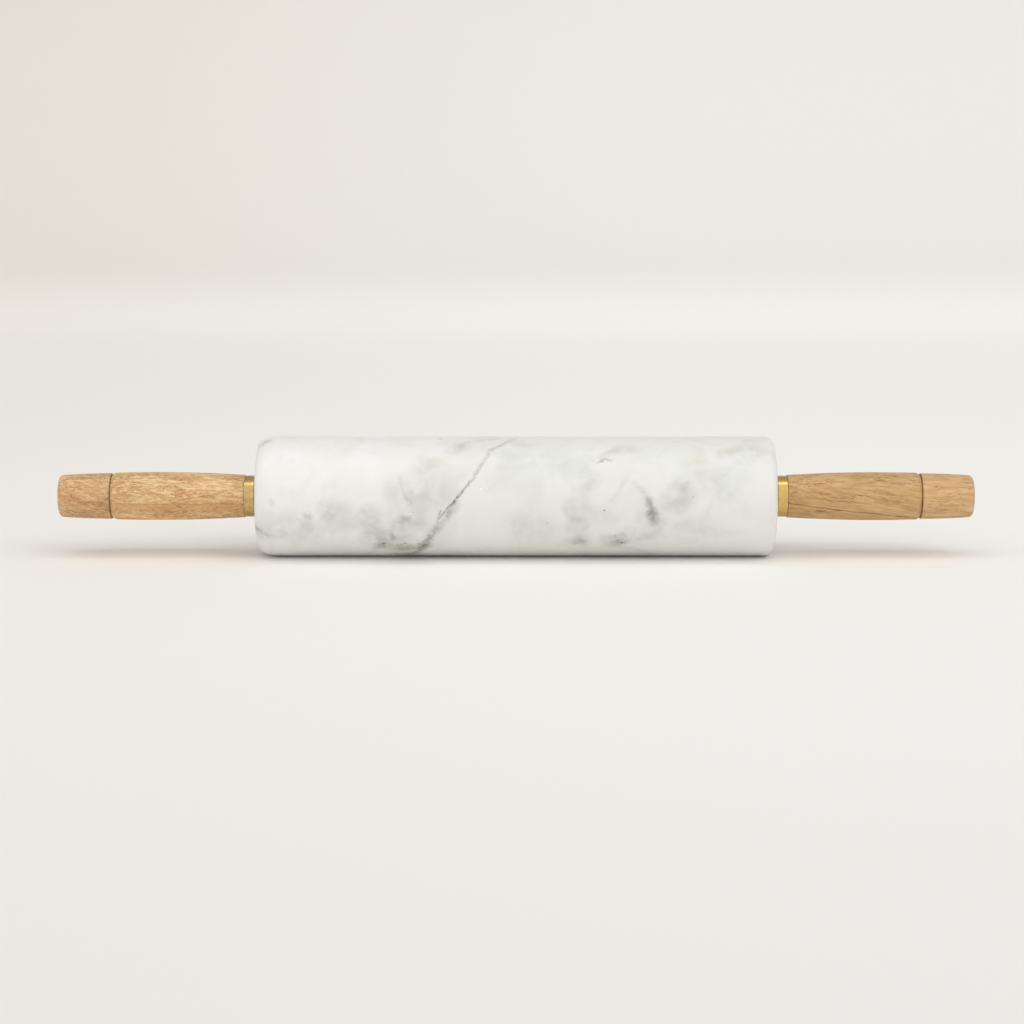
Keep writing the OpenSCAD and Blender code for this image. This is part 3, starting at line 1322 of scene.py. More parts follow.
@dataclass(frozen=True)
class GrowthRings:
    """The dark late wood of the growth rings, which lie round a centre outside the piece.

    Attributes:
        centre: How far off that centre is in mm, along Y and Z.
        spacing: Distance from ring to ring in mm.
        late_wood: Where in the wave from ring to ring the dark begins and is full.
        share: How dark it is, from 0 to 1.
        bends: The noise that bends them.
        wobble: How far in mm a ring leaves its circle.
    """

    centre: Pair = (21.0, 34.0)
    spacing: float = 3.1
    late_wood: Pair = (0.1, 1.0)
    share: float = 0.4
    bends: Noise = Noise(0.16, 3.0, stretch=(0.25, 1.0, 1.0))
    wobble: float = 5.0

    def lay(self, s: Shading, grain: Socket, colour: Socket, dark: Colour) -> Socket:
        """Lay the rings on the wood.

        Args:
            s: The material being made.
            grain: The place in the plank in mm.
            colour: The colour of the wood.
            dark: The colour of the late wood.

        Returns:
            The wood with its rings.
        """
        _, y, z = s.parts(grain)
        centred = s.joined(0.0, s.maths("ADD", y, self.centre[0]), s.maths("ADD", z, self.centre[1]))
        wobble = s.maths("MULTIPLY", s.noise(grain, self.bends), self.wobble)
        distance = s.maths("ADD", s.vector("LENGTH", centred), wobble)
        wave = s.maths("SINE", s.maths("MULTIPLY", distance, 2 * math.pi / self.spacing))
        share = s.maths("MULTIPLY", s.ranged(wave, *self.late_wood), self.share)
        return s.colours(share, colour, dark)


@dataclass(frozen=True)
class Pores:
    """The pores of the wood: dark dashes along the grain, in clusters, over a fainter broken tone.

    Attributes:
        share: How thickly they lie, from 0 to 1.
        length: How long a pore is, beside its width.
        scale: How many there are to the mm across the grain.
        wide: The noise of the wide ones, whose scale is a share of the one above.
        thin: The noise of the thin ones, likewise.
        thin_share: How dark the thin ones are, from 0 to 1.
        threshold: The noise from which on there is a pore, where they are rarest.
        thickening: How much lower that is where they are thickest.
        edge: How far from the threshold a pore begins and is full.
        clusters: How the threshold changes from cluster to cluster.
        tone: The noise of the broken tone, likewise.
        tone_contrast: How strong that tone is where the pores are rarest, and how much it gains.
        tone_dark: The noise at which its dark dashes are full, and at which they end.
        tone_light: The noise at which its light dashes begin and are full.
    """

    share: float = 0.5
    length: float = 5.0
    scale: float = 1.7
    wide: Noise = Noise(1.0, 2.0, 0.5, 0.3)
    thin: Noise = Noise(1.9, 1.0, 0.4)
    thin_share: float = 0.7
    threshold: float = 0.66
    thickening: float = 0.1
    edge: Pair = (-0.03, 0.06)
    clusters: Mottle = Mottle(Noise(0.19, stretch=(0.3, 1.0, 1.0)), 0.35, 0.65, 0.1, -0.04)
    tone: Noise = Noise(0.62, 3.0, 0.65)
    tone_contrast: Pair = (0.28, 0.27)
    tone_dark: Pair = (0.4, 0.56)
    tone_light: Pair = (0.48, 0.64)

    def _drawn_out(self, noise: Noise) -> Noise:
        """Size a noise for these pores, and draw it out by their length."""
        return replace(noise, scale=noise.scale * self.scale, stretch=(1 / self.length, 1.0, 1.0))

    def mask(self, s: Shading, grain: Socket) -> Socket:
        """Find the pores.

        Args:
            s: The material being made.
            grain: The place in the plank in mm.

        Returns:
            1 inside a pore and 0 outside.
        """
        least = self.threshold - self.thickening * self.share
        threshold = s.maths("ADD", s.mottled(grain, self.clusters), least)
        wide, thin = (
            s.maths("SUBTRACT", s.noise(grain, self._drawn_out(noise)), threshold)
            for noise in (self.wide, self.thin)
        )
        thin = s.ranged(thin, *self.edge, 0.0, self.thin_share)
        return s.maths("MAXIMUM", s.ranged(wide, *self.edge), thin)

    def break_tone(self, s: Shading, grain: Socket, colour: Socket, dark: Colour, light: Colour) -> Socket:
        """Break up the tone of the wood with faint dashes.

        Args:
            s: The material being made.
            grain: The place in the plank in mm.
            colour: The colour of the wood.
            dark: The colour of the dark dashes.
            light: The colour of the light ones.

        Returns:
            The wood with its broken tone.
        """
        dash = s.noise(grain, self._drawn_out(self.tone))
        least, gain = self.tone_contrast
        contrast = least + gain * self.share
        colour = s.colours(s.ranged(dash, *self.tone_dark, contrast, 0.0), colour, dark)
        return s.colours(s.ranged(dash, *self.tone_light, 0.0, contrast), colour, light)


@dataclass(frozen=True)
class GrainBreak:
    """A line along the piece where the grain changes: browner just below it, with a thin dark edge.

    Attributes:
        height: Height of the line in mm, from the axle.
        slope: How far it rises for each mm outwards.
        start: Distance in mm from the pin's middle at which that height holds.
        edge: How strong the thin edge is, from 0 to 1.
        tone: How much browner the wood below is, from 0 to 1.
        bends: The noise that bends the line.
        wobble: How far in mm it bends it.
        tone_top: Distances in mm from the line, where the tone is full and where it ends at the top.
        tone_bottom: Distances in mm from the line, where the tone begins at the bottom and is full.
        edge_width: How far in mm the edge reaches.
        uneven: How the edge comes and goes.
    """

    height: float
    slope: float = 0.0
    start: float = 0.0
    edge: float = 0.6
    tone: float = 0.5
    bends: Noise = Noise(0.5, 3.0, stretch=(0.15, 0.6, 0.6))
    wobble: float = 1.6
    tone_top: Pair = (-0.4, 0.3)
    tone_bottom: Pair = (-6.2, -3.2)
    edge_width: float = 0.5
    uneven: Mottle = Mottle(Noise(0.6, 3.0, stretch=(0.2, 1.0, 1.0)), 0.3, 0.6, 0.5, 1.0)

    def lay(self, s: Shading, centred: Socket, colour: Socket, brown: Colour, dark: Colour) -> Socket:
        """Lay the break on the wood.

        Args:
            s: The material being made.
            centred: The place in mm, from the pin's middle on the axle.
            colour: The colour of the wood.
            brown: The browner colour below the line.
            dark: The colour of the edge.

        Returns:
            The wood with its break.
        """
        x, _, z = s.parts(centred)
        outwards = s.maths("SUBTRACT", s.maths("ABSOLUTE", x), self.start)
        level = s.maths("ADD", s.maths("MULTIPLY", outwards, self.slope), self.height + self.wobble / 2)
        wavy = s.maths("ADD", z, s.maths("MULTIPLY", s.noise(centred, self.bends), self.wobble))
        above = s.maths("SUBTRACT", wavy, level)
        top = s.ranged(above, *self.tone_top, self.tone, 0.0)
        colour = s.colours(s.maths("MULTIPLY", top, s.ranged(above, *self.tone_bottom)), colour, brown)
        edge = s.ranged(s.maths("ABSOLUTE", above), 0.0, self.edge_width, self.edge, 0.0)
        return s.colours(s.maths("MULTIPLY", edge, s.mottled(centred, self.uneven)), colour, dark)


@dataclass(frozen=True)
class Burns:
    """Painted shade at the joints: dark lines that stand in for the shadow in the gap between handle and cap,
    and at the ferrule's lip.

    Attributes:
        places: Their distances in mm from the pin's middle.
        colour: Their colour.
        share: How dark they are, from 0 to 1.
        width: How far in mm from its place a line is full, and how far from it the line ends.
        uneven: How a line comes and goes.
    """

    places: tuple[float, ...]
    colour: Colour = linear(112, 64, 36)
    share: float = 0.85
    width: Pair = (0.1, 0.5)
    uneven: Mottle = Mottle(Noise(0.6, 3.0), 0.3, 0.6, 0.65, 1.0)

    def lay(self, s: Shading, place: Socket, colour: Socket) -> Socket:
        """Lay the painted shade lines on the wood.

        Args:
            s: The material being made.
            place: The place in mm.
            colour: The colour of the wood.

        Returns:
            The wood with these lines.
        """
        outwards = s.maths("ABSOLUTE", s.parts(place)[0])
        uneven = s.mottled(place, self.uneven)
        for distance in self.places:
            gap = s.maths("ABSOLUTE", s.maths("SUBTRACT", outwards, distance))
            line = s.maths("MULTIPLY", s.ranged(gap, *self.width, self.share, 0.0), uneven)
            colour = s.colours(line, colour, self.colour)
        return colour


@dataclass(frozen=True)
class Timber:
    """Oiled hardwood with its grain along the axle.

    Attributes:
        name: Name of the material.
        height: Height of the axle in mm.
        pale: Its lightest colour.
        honey: Its main colour.
        brown: The colour of its streaks.
        fleck: The colour of its pores.
        burns: The painted shade at its joints: dark lines where the gaps would lie in shadow.
        pores: Its pores.
        grain_break: The line where its grain changes. None for no such line.
        lean: How far in degrees the grain leans from the axle.
        start: Where in the plank the piece was cut from, in mm.
        rings: Its growth rings.
        wander: How the grain wanders.
        slow: How the main colour comes and goes with the lightest.
        streak: Its streaks.
        fibre: The noise of its fibres.
        fibre_light: The noise at which a fibre begins to be pale and is palest.
        fibre_share: How pale it is then, from 0 to 1.
        fleck_share: How dark a pore is, from 0 to 1.
        handling: How the wood has darkened where hands and oil have been.
        gloss: The roughness of the lowest and of the highest fibres.
        fleck_gloss: How much rougher a pore is.
        fibre_height: How high a fibre stands beside the depth of a pore.
        relief: How much of that relief shows, and how deep it is in mm.
    """

    name: str
    height: float
    pale: Colour
    honey: Colour
    brown: Colour
    fleck: Colour
    burns: Burns
    pores: Pores
    grain_break: GrainBreak | None = None
    lean: float = 0.0
    start: Triple = (0.0, 0.0, 0.0)
    rings: GrowthRings = GrowthRings()
    wander: Sway = Sway(Noise(0.1, stretch=(0.35, 1.0, 1.0)), (0.0, 3.0, 3.0))
    slow: Mottle = Mottle(Noise(0.11, 3.0, 0.55, stretch=(0.3, 1.0, 1.0)), 0.36, 0.64)
    streak: Mottle = Mottle(Noise(0.9, 5.0, 0.62, stretch=(0.045, 1.0, 1.0)), 0.36, 0.66, high=0.4)
    fibre: Noise = Noise(3.4, 3.0, 0.6, stretch=(0.05, 1.0, 1.0))
    fibre_light: Pair = (0.42, 0.68)
    fibre_share: float = 0.4
    fleck_share: float = 0.7
    handling: Mottle = Mottle(Noise(0.05, 4.0), 0.45, 0.75, high=0.16)
    gloss: Pair = (0.44, 0.56)
    fleck_gloss: float = 0.15
    fibre_height: float = 0.5
    relief: Pair = (0.5, 0.12)

    def build(self) -> bpy.types.Material:
        """Make the material.

        Returns:
            The material.
        """
        s = Shading(self.name)
        place = s.at_in_mm()
        centred = s.vector("SUBTRACT", place, (0.0, 0.0, self.height))
        grain = s.vector("ADD", s.turned(centred, (0.0, self.lean, self.lean / 2)), self.start)
        grain = s.shaken(grain, self.wander, grain)
        fibre = s.noise(grain, self.fibre)
        fleck = self.pores.mask(s, grain)

        colour = s.colours(s.mottled(grain, self.slow), self.honey, self.pale)
        colour = self.rings.lay(s, grain, colour, self.brown)
        colour = s.colours(s.mottled(grain, self.streak), colour, self.brown)
        colour = s.colours(s.ranged(fibre, *self.fibre_light, 0.0, self.fibre_share), colour, self.pale)
        colour = self.pores.break_tone(s, grain, colour, self.brown, self.pale)
        if self.grain_break:
            colour = self.grain_break.lay(s, centred, colour, self.brown, self.fleck)
        colour = s.colours(s.maths("MULTIPLY", fleck, self.fleck_share), colour, self.fleck)
        colour = s.colours(s.mottled(place, self.handling), colour, self.brown)
        # Painted shade: dark lines along the joints, where the gaps would lie in shadow.
        colour = self.burns.lay(s, place, colour)

        s.bump(s.maths("SUBTRACT", s.maths("MULTIPLY", fibre, self.fibre_height), fleck), *self.relief)
        rough_fleck = s.maths("MULTIPLY", fleck, self.fleck_gloss)
        return s.finish(colour, s.maths("ADD", s.ranged(fibre, *NOISE_SPAN, *self.gloss), rough_fleck))


@dataclass(frozen=True)
class TurnedMetal:
    """Bare metal with the fine rings that a lathe leaves.

    Attributes:
        name: Name of the material.
        clean: Its colour where it is bright.
        dull: Its colour where it has tarnished.
        roughness: How rough it is.
        tarnish: How much of it has dulled, from 0 to 1.
        rings: The noise of its rings, drawn out about the axle.
        ring_light: The noise at which a ring begins to be dull and is dullest.
        ring_share: How dull it is then, from 0 to 1.
        ring_gloss: How much rougher than the rest the lowest and the highest rings are.
        ring_bump: How much of their relief shows, and how deep it is in mm.
        spots: Where it has tarnished.
        spot_gloss: How much rougher it is there.
    """

    name: str
    clean: Colour
    dull: Colour
    roughness: float
    tarnish: float = 0.4
    rings: Noise = Noise(3.0, 4.0, 0.6, stretch=(1.0, 0.04, 0.04))
    ring_light: Pair = (0.4, 0.7)
    ring_share: float = 0.3
    ring_gloss: Pair = (-0.05, 0.07)
    ring_bump: Pair = (0.35, 0.02)
    spots: Mottle = Mottle(Noise(0.35, 5.0, 0.6), 0.42, 0.7)
    spot_gloss: float = 0.2

    def build(self) -> bpy.types.Material:
        """Make the material.

        Returns:
            The material.
        """
        s = Shading(self.name)
        place = s.at_in_mm()
        rings = s.noise(place, self.rings)
        spots = s.maths("MULTIPLY", s.mottled(place, self.spots), self.tarnish)
        colour = s.colours(spots, self.clean, self.dull)
        colour = s.colours(s.ranged(rings, *self.ring_light, 0.0, self.ring_share), colour, self.dull)
        smooth, rough = (self.roughness + more for more in self.ring_gloss)
        worn = s.maths("MULTIPLY", spots, self.spot_gloss)
        s.bump(rings, *self.ring_bump)
        roughness = s.maths("ADD", s.ranged(rings, *NOISE_SPAN, smooth, rough), worn)
        return s.finish(colour, roughness, metallic=1.0)


@dataclass(frozen=True)
class Nylon:
    """Moulded off-white plastic.

    Attributes:
        name: Name of the material.
        clean: Its colour.
        rubbed: Its colour where it runs on metal, with where that is.
        skin: The noise of its surface's grains.
        skin_bump: How much of their relief shows, and how deep it is in mm.
        gloss: The roughness of the lowest and of the highest grains.
    """

    name: str = "bush_nylon"
    clean: Colour = linear(232, 227, 210)
    rubbed: Layer = Layer(linear(188, 182, 166), Mottle(Noise(0.5, 4.0), 0.45, 0.7, high=0.6))
    skin: Noise = Noise(6.0, 3.0)
    skin_bump: Pair = (0.3, 0.03)
    gloss: Pair = (0.45, 0.6)

    def build(self) -> bpy.types.Material:
        """Make the material.

        Returns:
            The material.
        """
        s = Shading(self.name)
        place = s.at_in_mm()
        skin = s.noise(place, self.skin)
        s.bump(skin, *self.skin_bump)
        return s.finish(s.layered(place, self.clean, self.rubbed), s.ranged(skin, *NOISE_SPAN, *self.gloss))


def settle(piece: bpy.types.Object, body: str, slot: str, look: bpy.types.Material, *nodes: str) -> None:
    """Give a new piece its look, its body and the CAD nodes that it stands for.

    Args:
        piece: The piece.
        body: The body that it rides on.
        slot: The record's material slot. It is not used.
        look: Its material.
        *nodes: CAD nodes that it replaces.
    """
    piece.data.materials.clear()
    piece.data.materials.append(look)
    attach(piece, body)
    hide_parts(*nodes)
    LOG.info("%s rides on %s and stands for %s", piece.name, body, ", ".join(nodes))


def dress(node: str, look: bpy.types.Material) -> None:
    """Give a CAD node that is kept its look.

    Args:
        node: Name of the node.
        look: Its material.
    """
    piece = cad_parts[node]
    piece.data.materials.clear()
    piece.data.materials.append(look)
    LOG.info("%s is kept as packed, with %s", node, look.name)


@dataclass
class Barrel:
    """The marble barrel with the bushes glued into its ends.

    Attributes:
        edge_depth: Depth in mm of the round at each end of the barrel.
        edge_length: Length in mm of that round at each end.
        edge_steps: Straight steps along it.
        mouth_bevel: Bevel in mm at the mouth of each flange's recess.
        bore_radius: Radius in mm of the hole between the pockets.
        pocket_gap: Gap in mm between a bush and its pocket.
        pocket_relief: Space in mm behind a bush.
        bush_bore: Radius in mm of a bush's hole.
        bush_wall: Wall of a bush in mm.
        flange_thickness: Thickness of its flange in mm.
        flange_recess: How far in mm the flange is sunk into the marble.
        bush_edges: Rounds in mm on a bush: its bore inside, its inner end, its flange, its bore outside.
        around: Faces around the marble.
        size: Where the marble lies.
    """

    edge_depth: float = 4.5
    edge_length: dict[Side, float] = field(default_factory=lambda: {Side.LEFT: 9.0, Side.RIGHT: 4.5})
    edge_steps: int = 24
    mouth_bevel: float = 0.6
    bore_radius: float = 7.5
    pocket_gap: float = 0.1
    pocket_relief: float = 1.0
    bush_bore: float = 6.06
    bush_wall: float = 2.8
    flange_thickness: float = 1.5
    flange_recess: float = 1.1
    bush_edges: tuple[float, ...] = (0.2, 0.6, 0.25, 0.3)
    around: int = 256
    size: NodeSize = field(default_factory=lambda: NodeSize.of("marble_barrel"))

    def build(self) -> None:
        """Make the barrel and its bushes."""
        self._stone()
        look = Nylon().build()
        for side in Side:
            self._bush(side, look)

    def _stone(self) -> None:
        """Make the marble."""
        left = [Corner(-c.x, c.r) for c in reversed(self._end_outline(Side.LEFT))]
        corners = self._end_outline(Side.RIGHT) + left
        turning = Turning("barrel_marble", corners, self.size.height, around=self.around)
        look = Marble(self.size.radius, self.size.height, self.size.outer).build()
        settle(turning.build(), "barrel", "marble", look, "marble_barrel")

    def _end_outline(self, side: Side) -> list[Corner]:
        """Draw one end of the marble: stepped pocket, face and edge, whose round is part of an ellipse.

        Args:
            side: Which end.

        Returns:
            Its corners from the bore outwards, drawn as at the right end.
        """
        half = self.size.outer
        bush = NodeSize.of("right_bush")
        pocket = self.bush_bore + self.bush_wall + self.pocket_gap
        recess = bush.radius + self.pocket_gap
        floor = bush.inner - self.pocket_relief
        length = self.edge_length[side]
        corners = [
            Corner(floor, self.bore_radius),
            Corner(floor, pocket),
            Corner(half - self.flange_recess, pocket),
            Corner(half - self.flange_recess, recess),
            Corner(half - self.mouth_bevel, recess),
            Corner(half, recess + self.mouth_bevel),
        ]
        for step in range(self.edge_steps, -1, -1):
            angle = math.pi / 2 * step / self.edge_steps
            x = half - length + length * math.sin(angle)
            corners.append(Corner(x, self.size.radius - self.edge_depth * (1 - math.cos(angle))))
        return corners

    def _bush(self, side: Side, look: bpy.types.Material) -> None:
        """Make one bush.

        Args:
            side: Its end of the pin.
            look: Its material.
        """
        node = f"{side.word}_bush"
        size = NodeSize.of(node)
        outer = self.bush_bore + self.bush_wall
        face = size.outer - self.flange_thickness
        bore_inside, inner_end, flange, bore_outside = self.bush_edges
        corners = [
            Corner(size.inner, self.bush_bore, bore_inside),
            Corner(size.inner, outer, inner_end),
            Corner(face, outer),
            Corner(face, size.radius, flange),
            Corner(size.outer, size.radius, flange),
            Corner(size.outer, self.bush_bore, bore_outside),
        ]
        turning = Turning(f"{side.word}_bush_moulding", corners, size.height, side)
        settle(turning.build(), "barrel", "nylon", look, node)


@dataclass
class HandleEnd:
    """One end of the axle: thrust washer, ferrule, handle and end cap.

    Attributes:
        side: Which end it is.
        wood: The handle's finish.
        cap_wood: The end cap's finish.
        brass: The ferrule's material.
        steel: The washer's material.
        rod_hole: Radius in mm of the hole for the rod.
        ferrule_wall: Wall of the ferrule in mm.
        ferrule_end_wall: Thickness in mm of its closed end.
        tenon_gap: Gap in mm between it and the handle's tenon.
        neck_radius: Radius in mm of the handle where it leaves the ferrule.
        belly_place: How far in mm from there the handle is thickest.
        groove_length: Length in mm of the groove between handle and cap.
        groove_depth: Its depth in mm.
        pocket_radius: Radius in mm of the nut's pocket in the handle.
        pocket_depth: Its depth in mm.
        cap_curve: Radius in mm of the large circle of the cap's outline.
        cap_round: Round in mm at the cap's end.
        cap_bevel: Bevel in mm on the cap at the joint.
        cap_dome: How far in mm the cap's end stands out in its middle.
        spigot_gap: Gap in mm between the cap's spigot and the pocket.
        swell_steps: Straight steps along the handle.
        cap_steps: Straight steps along the cap.
        cap_steps_left: How many of those its end round takes up.
        longest: Longest step in mm along any outline here.
        waver: How far in mm the handle's surface wavers.
        cap_waver: How far in mm the cap's surface wavers.
        washer_edges: Rounds in mm at the thrust washer's hole and at its rim.
        ferrule_edges: Rounds in mm on the ferrule: at its holes, its closed end and its lip.
        handle_edges: Rounds in mm on the handle: at its hole, its tenon, its neck, the groove, the joint and
            the pocket's mouth.
        cap_edges: Rounds in mm on the cap: at its spigot and its joint.
    """

    side: Side
    wood: Timber
    cap_wood: Timber
    brass: bpy.types.Material
    steel: bpy.types.Material
    rod_hole: float = 4.2
    ferrule_wall: float = 0.9
    ferrule_end_wall: float = 1.0
    tenon_gap: float = 0.1
    neck_radius: float = 10.5
    belly_place: float = 43.4
    groove_length: float = 1.8
    groove_depth: float = 1.05
    pocket_radius: float = 8.5
    pocket_depth: float = 22.0
    cap_curve: float = 330.0
    cap_round: float = 2.0
    cap_bevel: float = 0.4
    cap_dome: float = 0.3
    spigot_gap: float = 0.08
    swell_steps: int = 40
    cap_steps: int = 14
    cap_steps_left: int = 2
    longest: float = 1.5
    waver: float = 0.05
    cap_waver: float = 0.04
    washer_edges: Pair = (0.1, 0.2)
    ferrule_edges: Triple = (0.1, 0.5, 0.12)
    handle_edges: tuple[float, ...] = (0.2, 0.3, 0.4, 0.9, 0.12, 0.3)
    cap_edges: Pair = (0.8, 0.2)

    def node(self, word: str) -> str:
        """Name one of this end's CAD nodes."""
        return f"{self.side.word}_{word}"

    def build(self) -> None:
        """Make the pieces of this end."""
        self._thrust_washer()
        self._ferrule()
        self._handle()
        self._cap()
        for word in ("washer", "nut"):
            dress(self.node(word), self.steel)

    def _turn(self, name: str, corners: Sequence[Corner], word: str, slot: str,
              look: bpy.types.Material, unevenness: float = 0.0) -> None:
        """Turn a piece of this end and settle it.

        Args:
            name: Name of the piece.
            corners: Its outline.
            word: The CAD node that it stands for, without the side.
            slot: Its material slot.
            look: Its material.
            unevenness: How far its surface wavers in mm.
        """
        height = NodeSize.of(self.node(word)).height
        turning = Turning(
            self.node(name), corners, height, self.side, longest=self.longest, unevenness=unevenness
        )
        settle(turning.build(), "axle", slot, look, self.node(word))

    def _thrust_washer(self) -> None:
        """Make the washer that the bush runs against."""
        size = NodeSize.of(self.node("thrust_washer"))
        hole = NodeSize.of("spacer_tube").radius + self.tenon_gap
        at_hole, at_rim = self.washer_edges
        corners = [
            Corner(size.inner, hole, at_hole),
            Corner(size.inner, size.radius, at_rim),
            Corner(size.outer, size.radius, at_rim),
            Corner(size.outer, hole, at_hole),
        ]
        self._turn("thrust_washer_disc", corners, "thrust_washer", "steel", self.steel)

    def _ferrule(self) -> None:
        """Make the brass cup."""
        size = NodeSize.of(self.node("ferrule"))
        inside = size.radius - self.ferrule_wall
        floor = size.inner + self.ferrule_end_wall
        at_hole, at_end, at_lip = self.ferrule_edges
        corners = [
            Corner(size.inner, self.rod_hole, at_hole),
            Corner(size.inner, size.radius, at_end),
            Corner(size.outer, size.radius, at_lip),
            Corner(size.outer, inside, at_hole),
            Corner(floor, inside),
            Corner(floor, self.rod_hole, at_hole),
        ]
        self._turn("ferrule_cup", corners, "ferrule", "brass", self.brass)

    def _handle(self) -> None:
        """Make the turned handle, whose swell is part of one large circle."""
        size = NodeSize.of(self.node("handle"))
        ferrule = NodeSize.of(self.node("ferrule"))
        start = ferrule.outer
        tenon = ferrule.radius - self.ferrule_wall - self.tenon_gap
        rise = size.radius - self.neck_radius
        swell = Swell(start + self.belly_place, size.radius, (self.belly_place**2 + rise**2) / (2 * rise))
        groove = size.outer - self.groove_length
        floor = size.outer - self.pocket_depth
        at_hole, at_tenon, at_neck, at_groove, at_joint, at_pocket = self.handle_edges
        corners = [
            Corner(size.inner, self.rod_hole, at_hole),
            Corner(size.inner, tenon, at_tenon),
            Corner(start, tenon),
            Corner(start, self.neck_radius, at_neck),
            *swell.corners(start, groove, self.swell_steps),
            Corner(groove, swell.radius(groove), at_groove),
            Corner(size.outer, swell.radius(groove) - self.groove_depth, at_joint),
            Corner(size.outer, self.pocket_radius, at_pocket),
            Corner(floor, self.pocket_radius),
            Corner(floor, self.rod_hole),
        ]
        self._turn("handle_wood", corners, "handle", "handle_wood", self.wood.build(), self.waver)

    def _cap(self) -> None:
        """Make the end cap with its spigot: a long curve, a round and a slightly domed end."""
        size = NodeSize.of(self.node("end_cap"))
        joint = NodeSize.of(self.node("handle")).outer
        spigot = self.pocket_radius - self.spigot_gap
        last = size.outer
        curve = Swell(joint, size.radius, self.cap_curve)
        at_spigot, at_joint = self.cap_edges
        corners = [
            Corner(size.inner, 0.0),
            Corner(size.inner, spigot, at_spigot),
            Corner(joint, spigot),
            Corner(joint, size.radius - self.cap_bevel),
            Corner(joint + self.cap_bevel, size.radius, at_joint),
            *curve.corners(joint, last, self.cap_steps, self.cap_steps_left),
            Corner(last - self.cap_dome, curve.radius(last), self.cap_round),
            Corner(last, 0.0),
        ]
        self._turn("cap_wood", corners, "end_cap", "cap_wood", self.cap_wood.build(), self.cap_waver)


@dataclass(frozen=True)
class Axle:
    """The rod and the spacer tube, kept as packed.

    Attributes:
        steel: Their material.
    """

    steel: bpy.types.Material

    def build(self) -> None:
        """Give both their look."""
        for node in ("axle_rod", "spacer_tube"):
            dress(node, self.steel)


@dataclass(frozen=True)
class Sweep:
    """The floor, which curves up into a backdrop far behind, with painted shade: darker at the left and on
    the backdrop.

    Attributes:
        front: Where along Y it begins, in metres.
        back: Where along Y the backdrop stands.
        half_width: Half of its width in metres.
        bend: Radius in metres of the curve between floor and backdrop.
        bend_steps: Straight steps along that curve.
        top: Height of the backdrop in metres.
        paper: Colour of the floor.
        paper_left_painted_shade: Its colour at the left, darker as painted shade, since the light comes from
            the right.
        wall: Colour of the backdrop, darker than the floor as painted shade.
        wall_left: Its colour at the left, with more painted shade.
        across: Where along X the painted shade of the left ends, and where the other colour begins.
        rise: Heights in metres between which the floor's colour turns to the backdrop's painted shade.
        sway: How that change is shaken.
        roughness: Its roughness.
        shine: How much light it throws back as a shine.
    """

    front: float = -2.2
    back: float = 1.6
    half_width: float = 3.0
    bend: float = 0.5
    bend_steps: int = 24
    top: float = 0.8
    paper: Colour = linear(247, 246, 243)
    paper_left_painted_shade: Colour = linear(239, 236, 229)
    wall: Colour = linear(233, 231, 226)
    wall_left: Colour = linear(225, 221, 212)
    across: Pair = (-0.75, 0.25)
    rise: Pair = (0.0, 0.055)
    sway: Sway = Sway(Noise(1.3), (0.2, 0.0, 0.0))
    roughness: float = 0.9
    shine: float = 0.1

    def build(self) -> None:
        """Make the sweep, as a part of the stage and not of the pin."""
        profile = [(self.front, 0.0), (self.back - self.bend, 0.0)]
        for i in range(1, self.bend_steps + 1):
            angle = math.pi / 2 * i / self.bend_steps
            y = self.back - self.bend + self.bend * math.sin(angle)
            profile.append((y, self.bend - self.bend * math.cos(angle)))
        profile.append((self.back, self.top))
        verts = [(x, y, z) for y, z in profile for x in (-self.half_width, self.half_width)]
        faces = [(2 * i, 2 * i + 1, 2 * i + 3, 2 * i + 2) for i in range(len(profile) - 1)]
        mesh = bpy.data.meshes.new("sweep")
        mesh.from_pydata(verts, [], faces)
        mesh.polygons.foreach_set("use_smooth", [True] * len(mesh.polygons))
        mesh.materials.append(self._finish())
        sweep = bpy.data.objects.new("sweep", mesh)
        bpy.context.scene.collection.objects.link(sweep)

    def _finish(self) -> bpy.types.Material:
        """Make the paper's material.

        Returns:
            The material.
        """
        s = Shading("sweep_paper")
        x, _, z = s.parts(s.shaken(s.at, self.sway, s.at))
        # Painted shade: the left of the floor and of the backdrop is darker, and the backdrop is darker than
        # the floor.
        across = s.ranged(x, *self.across)
        floor = s.colours(across, self.paper_left_painted_shade, self.paper)
        wall = s.colours(across, self.wall_left, self.wall)
        s.surface.inputs["Specular IOR Level"].default_value = self.shine
        return s.finish(s.colours(s.ranged(z, *self.rise), floor, wall), self.roughness)


